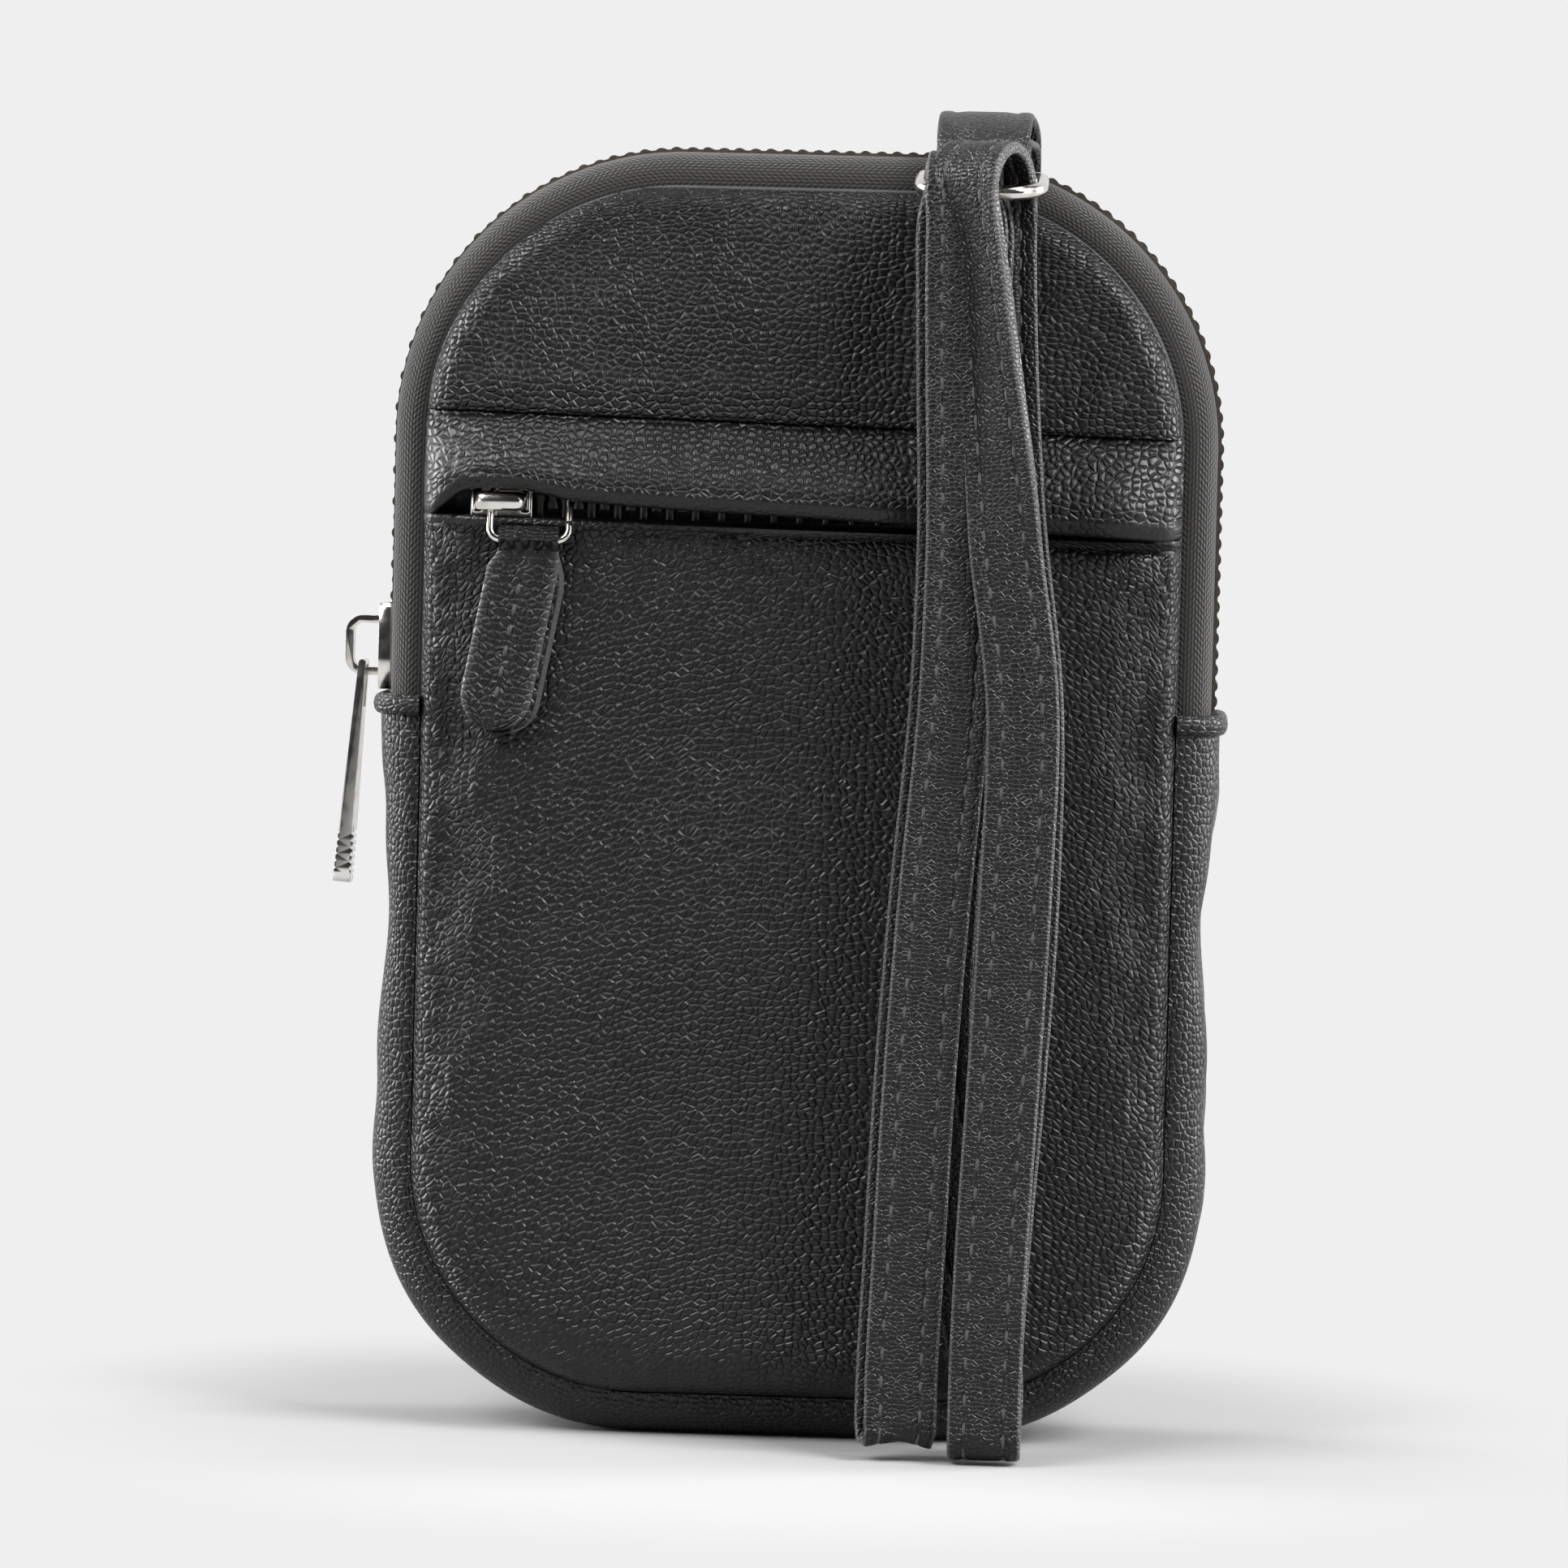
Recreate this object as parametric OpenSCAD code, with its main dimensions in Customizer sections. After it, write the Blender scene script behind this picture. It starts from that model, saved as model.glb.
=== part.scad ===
// A small crossbody phone pouch in soft pebbled leather. A zip runs over the top and down both
// sides, a leather gusset closes the bottom, and the front has a zipped pocket under a flap band.
// A long flat strap hangs gathered through a ring at the top right corner.
// X is right, Y is back and Z is up, and the bag stands on the middle of its flat bottom.

/* [Bag] */
// Overall width of the bag
bag_w = 117; // [108:1:135]
// Overall height of the bag, from the floor to the top of its outline
bag_h = 180; // [172:1:200]
// Depth of the side, from the front seam to the back seam
side_d = 26; // [24:0.5:32]
// Radius of the two top corners
top_r = 41; // [36:1:44]
// Radius of the two bottom corners
bottom_r = 38; // [34:1:44]
// How far the front and back seams stand in from the outline
seam_in = 6; // [5:0.25:7]
// Height at which the leather gusset ends and the open zip tapes begin
gusset_top = 102.5; // [95:0.5:108]

/* [Leather and lining] */
// Thickness of one layer of leather
leather_t = 1.2; // [0.9:0.1:1.5]
// Thickness of the lining cloth
lining_t = 0.5; // [0.3:0.1:0.7]
// Thickness of the foam behind the panels
foam_t = 1.2; // [0.8:0.1:1.6]
// How far the panels rise in the puffed edge beside the seam
edge_rise = 3.2; // [2:0.1:4]
// How far in from the seam the puffed edge reaches
edge_reach = 3.4; // [2:0.1:6]
// How far the panels rise further toward the middle
crown_rise = 1.8; // [1:0.1:2.6]
// How far in from the seam the crown levels out
crown_reach = 26; // [18:1:40]
// Width of the binding strip that covers the raw edges of a seam inside
bind_w = 3; // [2:0.25:4]
// Depth of that binding strip
bind_d = 2.2; // [1.6:0.1:3]
// Height of the rolled leather end that covers each end of the zip
roll_h = 2.9; // [2:0.1:4]
// How far the rolled end stands out from the gusset
roll_out = 1.2; // [0.8:0.1:1.5]

/* [Main zip] */
// Thickness of the woven zip tape
tape_t = 0.6; // [0.4:0.05:0.8]
// Spacing of the interleaved coil loops
tooth_pitch = 2.2; // [1.8:0.1:2.6]
// How high a coil loop stands on its tape
coil_h = 0.85; // [0.6:0.05:1]
// Length of a coil loop on its own tape, from the middle of the zip
loop_reach = 2.8; // [2.2:0.1:3.2]
// Length of the slider body
slider_l = 12; // [10:0.5:13]
// Width of the slider body
slider_w = 9.8; // [9.6:0.1:11]
// Thickness of the slider's plates
plate_t = 1; // [0.8:0.1:1.2]
// Half of the length of the arched bridge on the slider
bridge_r = 4.2; // [3.8:0.1:4.6]
// Length of the bar pull, from its cross bar to its tip
pull_l = 31; // [24:0.5:36]
// Width of the bar pull
pull_w = 5; // [4.6:0.1:6]
// Thickness of the bar pull at its upper end
pull_t = 1; // [0.9:0.05:1.2]
// Thickness of the bar pull at its tip
tip_t = 2.4; // [1.6:0.1:2.6]

/* [Front pocket] */
// Height at which the flap band is sewn to the upper panel
flap_top = 141.3; // [138:0.1:146]
// Height of the flap's free lower edge at its two ends
flap_edge = 127.1; // [126.6:0.1:127.6]
// Thickness of the folded flap at its free edge
flap_t = 2; // [1.6:0.1:2.4]
// Height of the pocket panel's top edge
pocket_top = 126; // [122:0.2:126.2]
// Height of the pocket zip's centre line
pocket_zip_z = 129.8; // [129.6:0.1:130]
// Half of the pocket zip's length
pocket_half = 46; // [40:0.5:47]
// Place of the pocket slider across the bag
pocket_slider_x = -41.4; // [-42:0.2:-36]
// Length of the pocket slider
pocket_slider_l = 8.6; // [8:0.2:10]
// Width of the pocket slider
pocket_slider_w = 6.8; // [6.6:0.1:7]
// Width of the wire link over its outside
link_w = 12; // [11.6:0.1:13]
// Height of the wire link between its wires' centres
link_h = 7.4; // [7:0.1:8]
// Thickness of the link's wire
link_wire = 1.1; // [0.9:0.05:1.2]
// Length of the folded leather pull below the wire
tag_l = 26.8; // [20:0.2:32]
// Width of the leather pull
tag_w = 9.8; // [9:0.1:11]

/* [Ring and strap] */
// Place of the ring and its tab across the bag
ring_x = 23.8; // [18:0.2:26]
// Outer width of the ring
ring_w = 18.4; // [18:0.1:20]
// Thickness of the ring's wire
ring_wire = 2; // [1.6:0.1:2.2]
// Width of the leather tab that holds the ring
tab_w = 13; // [11:0.1:13.2]
// How far the tab's arch stands above the bag
tab_rise = 5.4; // [4:0.2:8]
// Width of the strap
strap_w = 10; // [8:0.5:10.4]
// Thickness of the strap
strap_t = 1.8; // [1.4:0.1:2]

/* [Hidden] */
$fn = 48;

// How far cuts run past what they cut
over = 1;
// Gap between layers that lie on each other
ply = 0.1;
// Gap beside pieces that move past each other
clear = 0.3;

flat_half = side_d / 2 - seam_in;
rise = edge_rise + crown_rise;
black = "#222224";
brown = "#3d3833";
nickel = "#c9c8c6";
inside = "#2d2c2e";

// Outline of the seams: a rounded rectangle, drawn in by an inset
function seam_half(inset) = bag_w / 2 - seam_in - inset;
function seam_low(inset) = seam_in + inset;
function seam_high(inset) = bag_h - seam_in - inset;
function is_top(z) = z > bag_h / 2;
function seam_r(z, inset) = (is_top(z) ? top_r : bottom_r) - seam_in - inset;
// How far a height reaches past the start of its corner
function past_corner(z, inset) = seam_r(z, inset)
    - (is_top(z) ? seam_high(inset) - z : z - seam_low(inset));
// Half of the outline's width at a height
function reach(z, inset) = let (r = seam_r(z, inset), dz = max(past_corner(z, inset), 0))
    seam_half(inset) - r + sqrt(max(r * r - dz * dz, 0));
// Distance of a point inside the outline from the outline
function depth_in(x, z, inset) = let (r = seam_r(z, inset),
        qx = abs(x) - seam_half(inset) + r, qz = past_corner(z, inset))
    r - norm([max(qx, 0), max(qz, 0)]) - min(max(qx, qz), 0);
// Share of the full rise that a panel has at a distance from its seam
function puff(d) = (edge_rise * sqrt(1 - pow(1 - min(max(d, 0) / edge_reach, 1), 2))
    + crown_rise * (1 - pow(1 - min(max(d, 0) / crown_reach, 1), 2))) / rise;
// Distance of the front surface from the middle of the bag, sunk below the leather's surface
function skin(x, z, inset, sink) =
    side_d / 2 + (rise - sink) * puff(depth_in(x, z, inset));

// A smooth hump of height 1 with a level top
function bump(x, at, level, fall) = let (e = max(abs(x - at) - level, 0))
    e >= fall ? 0 : pow(cos(90 * e / fall), 2);

// The outline of a strip of even thickness along a row of points
module strip(p, t) {
    n = len(p) - 1;
    side = [for (i = [0:n]) let (d = p[min(i + 1, n)] - p[max(i - 1, 0)], u = d / norm(d))
        [-u[1], u[0]] * t / 2];
    polygon(concat([for (i = [0:n]) p[i] + side[i]], [for (i = [n:-1:0]) p[i] - side[i]]));
}

// Panels: two grids of points, one a layer's thickness inside the other
col_share = [-1, -0.985, -0.96, -0.925, -0.86, -0.7, -0.4, 0, 0.4, 0.7, 0.86, 0.925, 0.96, 0.985, 1];
few_col_share = [-1, -0.97, -0.9, -0.6, 0, 0.6, 0.9, 0.97, 1];
row_share = [0, 0.004, 0.013, 0.03, 0.06, 0.1, 0.15, 0.21, 0.35, 0.5, 0.65, 0.79, 0.85, 0.9, 0.94,
    0.97, 0.987, 0.996, 1];
few_row_share = [0, 0.02, 0.07, 0.15, 0.25, 0.5, 0.75, 0.85, 0.93, 0.98, 1];
upper_row_share = [0, 0.25, 0.45, 0.6, 0.7, 0.79, 0.86, 0.92, 0.96, 0.985, 1];
pocket_row_share = [0, 0.006, 0.018, 0.04, 0.08, 0.13, 0.2, 0.28, 0.45, 0.65, 0.85, 1];

function row_z(u, z0, z1, inset) = let (a = is_undef(z0) ? seam_low(inset) : z0,
        b = is_undef(z1) ? seam_high(inset) : z1) a + u * (b - a);
function grid(z0, z1, inset, sink, rows, cols) = [for (u = rows) for (c = cols)
    let (z = row_z(u, z0, z1, inset), x = c * reach(z, inset)) [x, -skin(x, z, inset, sink), z]];

// Rims first, then the outer and the inner face
function shell_faces(nr, nc, n) = concat(
    [for (c = [0:nc - 2]) [c, c + 1, n + c + 1]], [for (c = [0:nc - 2]) [c, n + c + 1, n + c]],
    [for (c = [0:nc - 2]) let (a = (nr - 1) * nc + c) [a + 1, a, n + a]],
    [for (c = [0:nc - 2]) let (a = (nr - 1) * nc + c) [a + 1, n + a, n + a + 1]],
    [for (r = [0:nr - 2]) let (a = r * nc) [a + nc, a, n + a]],
    [for (r = [0:nr - 2]) let (a = r * nc) [a + nc, n + a, n + a + nc]],
    [for (r = [0:nr - 2]) let (a = r * nc + nc - 1) [a, a + nc, n + a + nc]],
    [for (r = [0:nr - 2]) let (a = r * nc + nc - 1) [a, n + a + nc, n + a]],
    [for (r = [0:nr - 2]) for (c = [0:nc - 2]) let (a = r * nc + c) [a, a + nc, a + nc + 1]],
    [for (r = [0:nr - 2]) for (c = [0:nc - 2]) let (a = r * nc + c) [a, a + nc + 1, a + 1]],
    [for (r = [0:nr - 2]) for (c = [0:nc - 2]) let (a = n + r * nc + c) [a, a + nc + 1, a + nc]],
    [for (r = [0:nr - 2]) for (c = [0:nc - 2]) let (a = n + r * nc + c) [a, a + 1, a + nc + 1]]);

// A sheet that lies a given depth below the front leather's surface
module sheet(z0, z1, inset, sink, t, rows, cols) {
    n = len(rows) * len(cols);
    polyhedron(points = concat(grid(z0, z1, inset, sink, rows, cols),
            grid(z0, z1, inset + t, sink + t, rows, cols)),
        faces = shell_faces(len(rows), len(cols), n));
}

// The side band: its section and the paths it follows
// Section of a band that lies a depth below the side's surface: level in the middle, with a
// quarter round down to the seam. X is outward, Y is across the side.
module half_band(depth, t, from) {
    r = seam_in - depth;
    translate([-depth - t, from]) square([t, flat_half - from]);
    translate([-seam_in, flat_half]) intersection() {
        difference() {
            circle(r);
            circle(r - t);
        }
        square(r + over);
    }
}
module band(depth, t) {
    half_band(depth, t, 0);
    mirror([0, 1]) half_band(depth, t, 0);
}

module right_wall(z0, z1) {
    translate([bag_w / 2, 0, z0]) linear_extrude(z1 - z0) children();
}
module left_wall(z0, z1) {
    mirror([1, 0, 0]) right_wall(z0, z1) children();
}
// A quarter turn round a corner whose centre is at x, z
module turn(x, z, r, start) {
    translate([x, 0, z]) rotate([90, 0, 0]) rotate([0, 0, start])
        rotate_extrude(angle = 90) translate([r, 0]) mirror([0, 1]) children();
}
module arch_sweep(z_left, z_right) {
    cx = bag_w / 2 - top_r;
    cz = bag_h - top_r;
    right_wall(z_right, cz) children();
    left_wall(z_left, cz) children();
    turn(cx, cz, top_r, 0) children();
    turn(-cx, cz, top_r, 90) children();
    translate([cx, 0, bag_h]) rotate([0, -90, 0]) linear_extrude(2 * cx) children();
}
module cup_sweep(z_top) {
    cx = bag_w / 2 - bottom_r;
    right_wall(bottom_r, z_top) children();
    left_wall(bottom_r, z_top) children();
    turn(-cx, bottom_r, bottom_r, 180) children();
    turn(cx, bottom_r, bottom_r, 270) children();
    translate([-cx, 0, 0]) rotate([0, 90, 0]) linear_extrude(2 * cx) children();
}

// Panels, linings and bindings
module front_upper_panel() {
    color(black) sheet(flap_top + ply, undef, 0, 0, leather_t, upper_row_share, col_share);
}
module pocket_panel() {
    color(black) sheet(undef, pocket_top, 0, 0, leather_t, pocket_row_share, col_share);
}
module back_panel() {
    color(black) mirror([0, 1, 0]) sheet(undef, undef, 0, 0, leather_t, row_share, col_share);
}

// The front layers step down behind the pocket's zip, and the back ones lie on each other
pocket_lining_sink = 3.9;
pocket_lining_over = 4;
pocket_lining_top = flap_top + pocket_lining_over;
foam_front_sink = pocket_lining_sink + lining_t + ply;
lining_front_sink = foam_front_sink + foam_t + ply;
// The front lining lies deeper than the panel's whole rise, so its rim drops inside the binding
lining_front_drop = 2 * (lining_front_sink - rise);
foam_back_sink = leather_t + 2 * ply;
lining_back_sink = foam_back_sink + foam_t + ply;
foam_inset = leather_t + lining_t + 3 * ply;

module pocket_lining() {
    color(inside) sheet(undef, pocket_lining_top, leather_t + ply, pocket_lining_sink,
        lining_t - ply, few_row_share, few_col_share);
}
module foam_front() {
    color("#4a4a4a") sheet(undef, undef, foam_inset, foam_front_sink, foam_t,
        few_row_share, few_col_share);
}
module foam_back() {
    color("#4a4a4a") mirror([0, 1, 0]) sheet(undef, undef, foam_inset, foam_back_sink, foam_t,
        few_row_share, few_col_share);
}
module lining_front() {
    color(inside) translate([0, lining_front_drop, 0]) sheet(undef, undef, bind_w + ply,
        lining_front_sink - lining_front_drop, lining_t, few_row_share, few_col_share);
}
module lining_back() {
    color(inside) mirror([0, 1, 0]) sheet(undef, undef, bind_w + ply, lining_back_sink,
        lining_t, few_row_share, few_col_share);
}

// The seam outline as an exact flat shape
module seam_outline(inset) {
    rt = top_r - seam_in - inset;
    rb = bottom_r - seam_in - inset;
    h = seam_half(inset);
    lo = seam_low(inset);
    hi = seam_high(inset);
    translate([-h, lo + rb]) square([2 * h, hi - lo - rt - rb]);
    translate([rt - h, hi - rt]) square([2 * (h - rt), rt]);
    translate([rb - h, lo]) square([2 * (h - rb), rb]);
    for (s = [-1, 1]) {
        translate([s * (h - rt), hi - rt]) circle(rt);
        translate([s * (h - rb), lo + rb]) circle(rb);
    }
}
module seam_binding_front() {
    color(inside) translate([0, bind_d - side_d / 2, 0]) rotate([90, 0, 0])
        linear_extrude(bind_d) difference() {
            seam_outline(0);
            seam_outline(bind_w);
        }
}
module seam_binding_back() {
    color(inside) mirror([0, 1, 0]) seam_binding_front();
}

// Gusset
zip_depth = leather_t + ply;
tape_tuck = 7;
module bottom_gusset() {
    color(black) cup_sweep(gusset_top) band(0, leather_t);
}
module lining_gusset() {
    color(inside) cup_sweep(gusset_top - tape_tuck - clear) band(leather_t + clear, lining_t);
}
// The rolled end: a half round bead that follows the section of the side
module roll_section() {
    translate([0, -roll_h / 2]) intersection() {
        translate([roll_out - roll_h / 2, 0]) circle(roll_h / 2);
        translate([ply, -roll_h]) square([roll_out + over, 2 * roll_h]);
    }
}
module gusset_end_right() {
    color(black) translate([bag_w / 2, 0, gusset_top]) {
        translate([0, flat_half, 0]) rotate([90, 0, 0]) linear_extrude(2 * flat_half) roll_section();
        for (s = [0, 1]) mirror([0, s, 0]) translate([-seam_in, flat_half, 0])
            rotate_extrude(angle = 90) translate([seam_in, 0]) roll_section();
    }
}
module gusset_end_left() {
    mirror([1, 0, 0]) gusset_end_right();
}

// Main zip: two tapes, two interlocked rows of coil loops
tape_gap = 0.9;
cord_w = 0.7;
cord_h = 0.5;
head_r = 1.2;
neck_r = 0.9;
head_from = 0.2;
head_l = 0.9;
post_l = 2;
post_at = 0.8;
slider_z = gusset_top + clear;
coil_left_z = slider_z + post_at + post_l + clear + head_r;
coil_right_z = gusset_top + clear + head_r;

arch_left = bag_h - top_r - coil_left_z;
arch_right = bag_h - top_r - coil_right_z;
turn_l = (top_r - zip_depth) * PI / 2;
arch_top = bag_w - 2 * top_r;
arch_l = arch_left + arch_right + 2 * turn_l + arch_top;
tooth_count = floor(arch_l / tooth_pitch) + 1;

// Place on the bag's outline and outward direction at a length along the zip, from the left end
function on_arch(s) = let (cx = bag_w / 2 - top_r, cz = bag_h - top_r,
        a = s - arch_left, b = a - turn_l, c = b - arch_top, d = c - turn_l,
        t1 = 180 - 90 * a / turn_l, t2 = 90 - 90 * c / turn_l)
    a < 0 ? [-bag_w / 2, coil_left_z + s, 180]
    : b < 0 ? [top_r * cos(t1) - cx, cz + top_r * sin(t1), t1]
    : c < 0 ? [b - cx, bag_h, 90]
    : d < 0 ? [cx + top_r * cos(t2), cz + top_r * sin(t2), t2]
    : [bag_w / 2, cz - d, 0];

// A bar of half round section whose flat lies on the tape, drawn from y1 back by its length
module half_round(r, h, y1, l) {
    translate([0, y1, 0]) rotate([90, 0, 0]) linear_extrude(l) intersection() {
        translate([h - r, 0]) circle(r);
        translate([0, -r]) square([h, 2 * r]);
    }
}
// One coil loop of the row on the -Y side: a neck on its own tape, and a wider head past the
// middle that sits between two necks of the other row. k scales a smaller zip.
module coil_loop(h, on_tape, k) {
    half_round(neck_r * k, h, head_from * k, head_from * k + on_tape + ply);
    half_round(head_r * k, h, (head_from + head_l) * k, head_l * k);
}

module zip_tape(s) {
    color(brown) arch_sweep(gusset_top - tape_tuck, gusset_top - tape_tuck)
        mirror([0, (1 - s) / 2]) half_band(zip_depth, tape_t, tape_gap);
}
module zip_coil(first) {
    flip = 1 - first % 2 * 2;
    color("#4b443c") {
        arch_sweep(coil_left_z - head_r, coil_right_z - head_r)
            translate([-zip_depth, flip > 0 ? -loop_reach - cord_w : loop_reach])
                square([cord_h, cord_w]);
        for (i = [first:2:tooth_count - 1]) let (p = on_arch(i * tooth_pitch))
            translate([p[0], 0, p[1]]) rotate([0, -p[2], 0]) translate([-zip_depth, 0, 0])
                mirror([0, (1 - flip) / 2, 0]) coil_loop(coil_h, loop_reach, 1);
    }
}
module zip_tape_front() { zip_tape(-1); }
module zip_tape_back() { zip_tape(1); }
module zip_coil_front() { zip_coil(0); }
module zip_coil_back() { zip_coil(1); }

// Sliders
// Half outline of a slider plate: shares of its half width and of its length, wide end first
plate_share = [[0.8, 0], [1, 0.12], [1, 0.4], [0.94, 0.6], [0.94, 0.92], [0.78, 1]];
module plate_outline(w, l) {
    n = len(plate_share);
    polygon(concat([for (p = plate_share) [p[0] * w / 2, p[1] * l]],
        [for (i = [n - 1:-1:0]) [-plate_share[i][0] * w / 2, plate_share[i][1] * l]]));
}
// Draws a flat shape in the plane across and along the zip, outward by h
module outward(from, h) {
    translate([from, 0, 0]) rotate([90, 0, 90]) linear_extrude(h) children();
}
// An arch with rounded shoulders over a flat foot, drawn in by an inset
shoulder_share = 0.58;
module arch_shape(h, half, inset) {
    r = min(half * shoulder_share, h / 2) - inset;
    translate([0, inset - half]) square([h - inset - r, 2 * (half - inset)]);
    hull() for (s = [-1, 1]) translate([h - inset - r, s * (half - inset - r)]) circle(r);
}
// X is outward from the tape's face, Y across the zip and Z along it. Two plates hold the coils
// between them, joined by a post at the wide end, and the arched bridge stands on the upper one.
module slider_body(w, l, coil, tape, plate, channel, post, post_len, r_out, wall, b_rise, b_w) {
    top = coil + clear;
    low = -tape - clear;
    outward(top, plate) plate_outline(w, l);
    outward(clear / 2, top - clear / 2) difference() {
        plate_outline(w, l);
        translate([-channel, -over]) square([2 * channel, l + 2 * over]);
    }
    outward(low - plate, plate) plate_outline(w, l);
    outward(low, top - low) translate([-post / 2, post_at]) square([post, post_len]);
    translate([top + plate, b_w / 2, l / 2]) rotate([90, 0, 0]) linear_extrude(b_w)
        difference() {
            arch_shape(b_rise, r_out, 0);
            arch_shape(b_rise, r_out, wall);
        }
}

// Main slider, on the left side just above the rolled end
bridge_wall = 1.1;
bridge_rise = 5;
bridge_w = 2.6;
channel_half = loop_reach + cord_w + clear;
post_w = 2 * (tape_gap - clear);
plate_top = coil_h + clear + plate_t - zip_depth;

module main_slider() {
    color(nickel) mirror([1, 0, 0]) translate([bag_w / 2 - zip_depth, 0, slider_z])
        slider_body(slider_w, slider_l, coil_h, tape_t, plate_t, channel_half, post_w, post_l,
            bridge_r, bridge_wall, bridge_rise, bridge_w);
}

// Bar pull: its cross bar hangs on the lower leg of the bridge. It thickens evenly down to a tip
// with shallow ribs across both faces, and hangs leaning a little outward
bar_r = pull_t / 2;
pull_n = bag_w / 2 + plate_top + bridge_rise / 2;
pull_z = slider_z + slider_l / 2 - bridge_r + bridge_wall + bar_r + ply;
pull_lean = 4.3;
pull_slot_l = 6.2;
pull_slot_w = bridge_w + 2 * clear;
rib_pitch = 1;
rib_r = 0.25;
rib_count = 7;
module pull_outline() {
    difference() {
        union() {
            translate([-pull_w / 2, -pull_l + pull_w / 4]) square([pull_w, pull_l - pull_w / 4 - bar_r]);
            translate([-pull_w / 4, -pull_l]) square([pull_w / 2, pull_w]);
            for (s = [-1, 1]) translate([s * pull_w / 4, pull_w / 4 - pull_l]) circle(pull_w / 4);
            translate([-pull_w / 2, -pull_w / 2]) square([pull_w, pull_w / 2]);
        }
        translate([-pull_slot_w / 2, -pull_slot_l]) square([pull_slot_w, pull_slot_l + over]);
    }
}
// Across the pull's thickness: a taper, less a row of ribs on each face
module pull_side() {
    difference() {
        polygon([[-bar_r, 0], [bar_r, 0], [tip_t / 2, -pull_l], [-tip_t / 2, -pull_l]]);
        for (i = [1:rib_count]) let (u = 1 - i * rib_pitch / pull_l) for (s = [-1, 1])
            translate([s * (bar_r + u * (tip_t / 2 - bar_r)), -u * pull_l]) rotate(45)
                square(sqrt(2) * rib_r, center = true);
    }
}
module main_pull_bar() {
    color(nickel) translate([-pull_n, 0, pull_z]) rotate([0, pull_lean, 0]) {
        intersection() {
            outward(-tip_t / 2, tip_t) pull_outline();
            translate([0, pull_w, 0]) rotate([90, 0, 0]) linear_extrude(2 * pull_w) pull_side();
        }
        translate([0, pull_w / 2, 0]) rotate([90, 0, 0]) cylinder(r = bar_r, h = pull_w);
    }
}

// Front pocket zip, on a flat plane behind the flap
ptape_t = 0.5;
pcoil_h = 0.8;
pk = 0.82;
ptooth_pitch = tooth_pitch * pk;
ploop_reach = 2;
pcord_w = 0.5;
pplate_t = 0.7;
pchannel = ploop_reach + pcord_w + clear;
ptape_gap = tape_gap * pk;
pocket_zip_sink = 2.1;
ptape_up = 14;
ptape_down = 11;
pocket_zip_y = side_d / 2 + rise - pocket_zip_sink;
pcoil_from = pocket_slider_x - pocket_slider_l / 2 + post_at + post_l + clear + head_r * pk;

// Turns X outward, Y across and Z along to the front pocket's zip: outward is -Y, across is -Z
// and along is +X
module on_front(x) {
    translate([x, -pocket_zip_y, pocket_zip_z]) rotate([-90, 0, 0]) rotate([0, 90, 0]) children();
}
module ptape(from, to) {
    color(brown) translate([-pocket_half, -pocket_zip_y, pocket_zip_z + from])
        cube([2 * pocket_half, ptape_t, to - from]);
}
module pocket_tape_upper() { ptape(ptape_gap, ptape_up); }
module pocket_tape_lower() { ptape(-ptape_down, -ptape_gap); }
module pocket_coil(first) {
    flip = first % 2;
    last = floor((pocket_half - head_r * pk - pcoil_from) / ptooth_pitch);
    color("#2b2926") {
        on_front(pcoil_from - head_r * pk) outward(0, cord_h) mirror([flip, 0])
            translate([-ploop_reach - pcord_w, 0])
                square([pcord_w, pocket_half - pcoil_from + head_r * pk]);
        for (i = [first:2:last]) on_front(pcoil_from + i * ptooth_pitch)
            mirror([0, flip, 0]) coil_loop(pcoil_h, ploop_reach, pk);
    }
}
module pocket_coil_upper() { pocket_coil(0); }
module pocket_coil_lower() { pocket_coil(1); }

pbridge_r = 3.75;
pbridge_wall = 0.9;
pbridge_rise = 3.2;
pbridge_w = 2.6;
pslider_w = pocket_slider_w;
module pocket_slider() {
    color(nickel) on_front(pocket_slider_x - pocket_slider_l / 2)
        slider_body(pslider_w, pocket_slider_l, pcoil_h, ptape_t, pplate_t, pchannel,
            2 * (ptape_gap - clear / 2), post_l, pbridge_r, pbridge_wall, pbridge_rise, pbridge_w);
}

// A closed wire loop in the XY plane: straight wires joined by quarter bends. The bar along X at
// y = 0 is the rear one, the loop reaches to y = -h, and the bends differ at its two ends.
module wire_loop(w, h, wire, r_rear, r_front) {
    c = w / 2 - wire / 2;
    for (b = [[0, r_rear, 1], [-h, r_front, -1]]) {
        translate([-c + b[1], b[0], 0]) rotate([0, 90, 0])
            cylinder(r = wire / 2, h = 2 * (c - b[1]));
        for (s = [-1, 1]) mirror([(1 - s) / 2, 0, 0])
            translate([c - b[1], b[0] - b[2] * b[1], 0]) mirror([0, (1 - b[2]) / 2, 0])
                rotate_extrude(angle = 90) translate([b[1], 0]) circle(wire / 2);
    }
    for (s = [-1, 1]) translate([s * c, -r_rear, 0]) rotate([90, 0, 0])
        cylinder(r = wire / 2, h = h - r_rear - r_front);
}

// The wire link: one upright wire passes through the slider's bridge, and the link leans out
// from it so that the leather hangs clear of the pocket panel
link_r = 1.6;
link_in = 1.3;
link_lean = 14;
link_up = 2;
link_bore = (pbridge_rise - pbridge_wall) / 2;
link_y = -(pocket_zip_y + pcoil_h + clear + pplate_t + link_bore);
link_x = pocket_slider_x - link_in + link_w / 2 - link_wire / 2;
wire_y = link_y - (link_h - link_up) * sin(link_lean);
wire_z = pocket_zip_z - (link_h - link_up) * cos(link_lean);
module pocket_pull_link() {
    color(nickel) translate([link_x, link_y, pocket_zip_z]) rotate([90 - link_lean, 0, 0])
        translate([0, link_up, 0]) wire_loop(link_w, link_h, link_wire, link_r, link_r);
}

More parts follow.
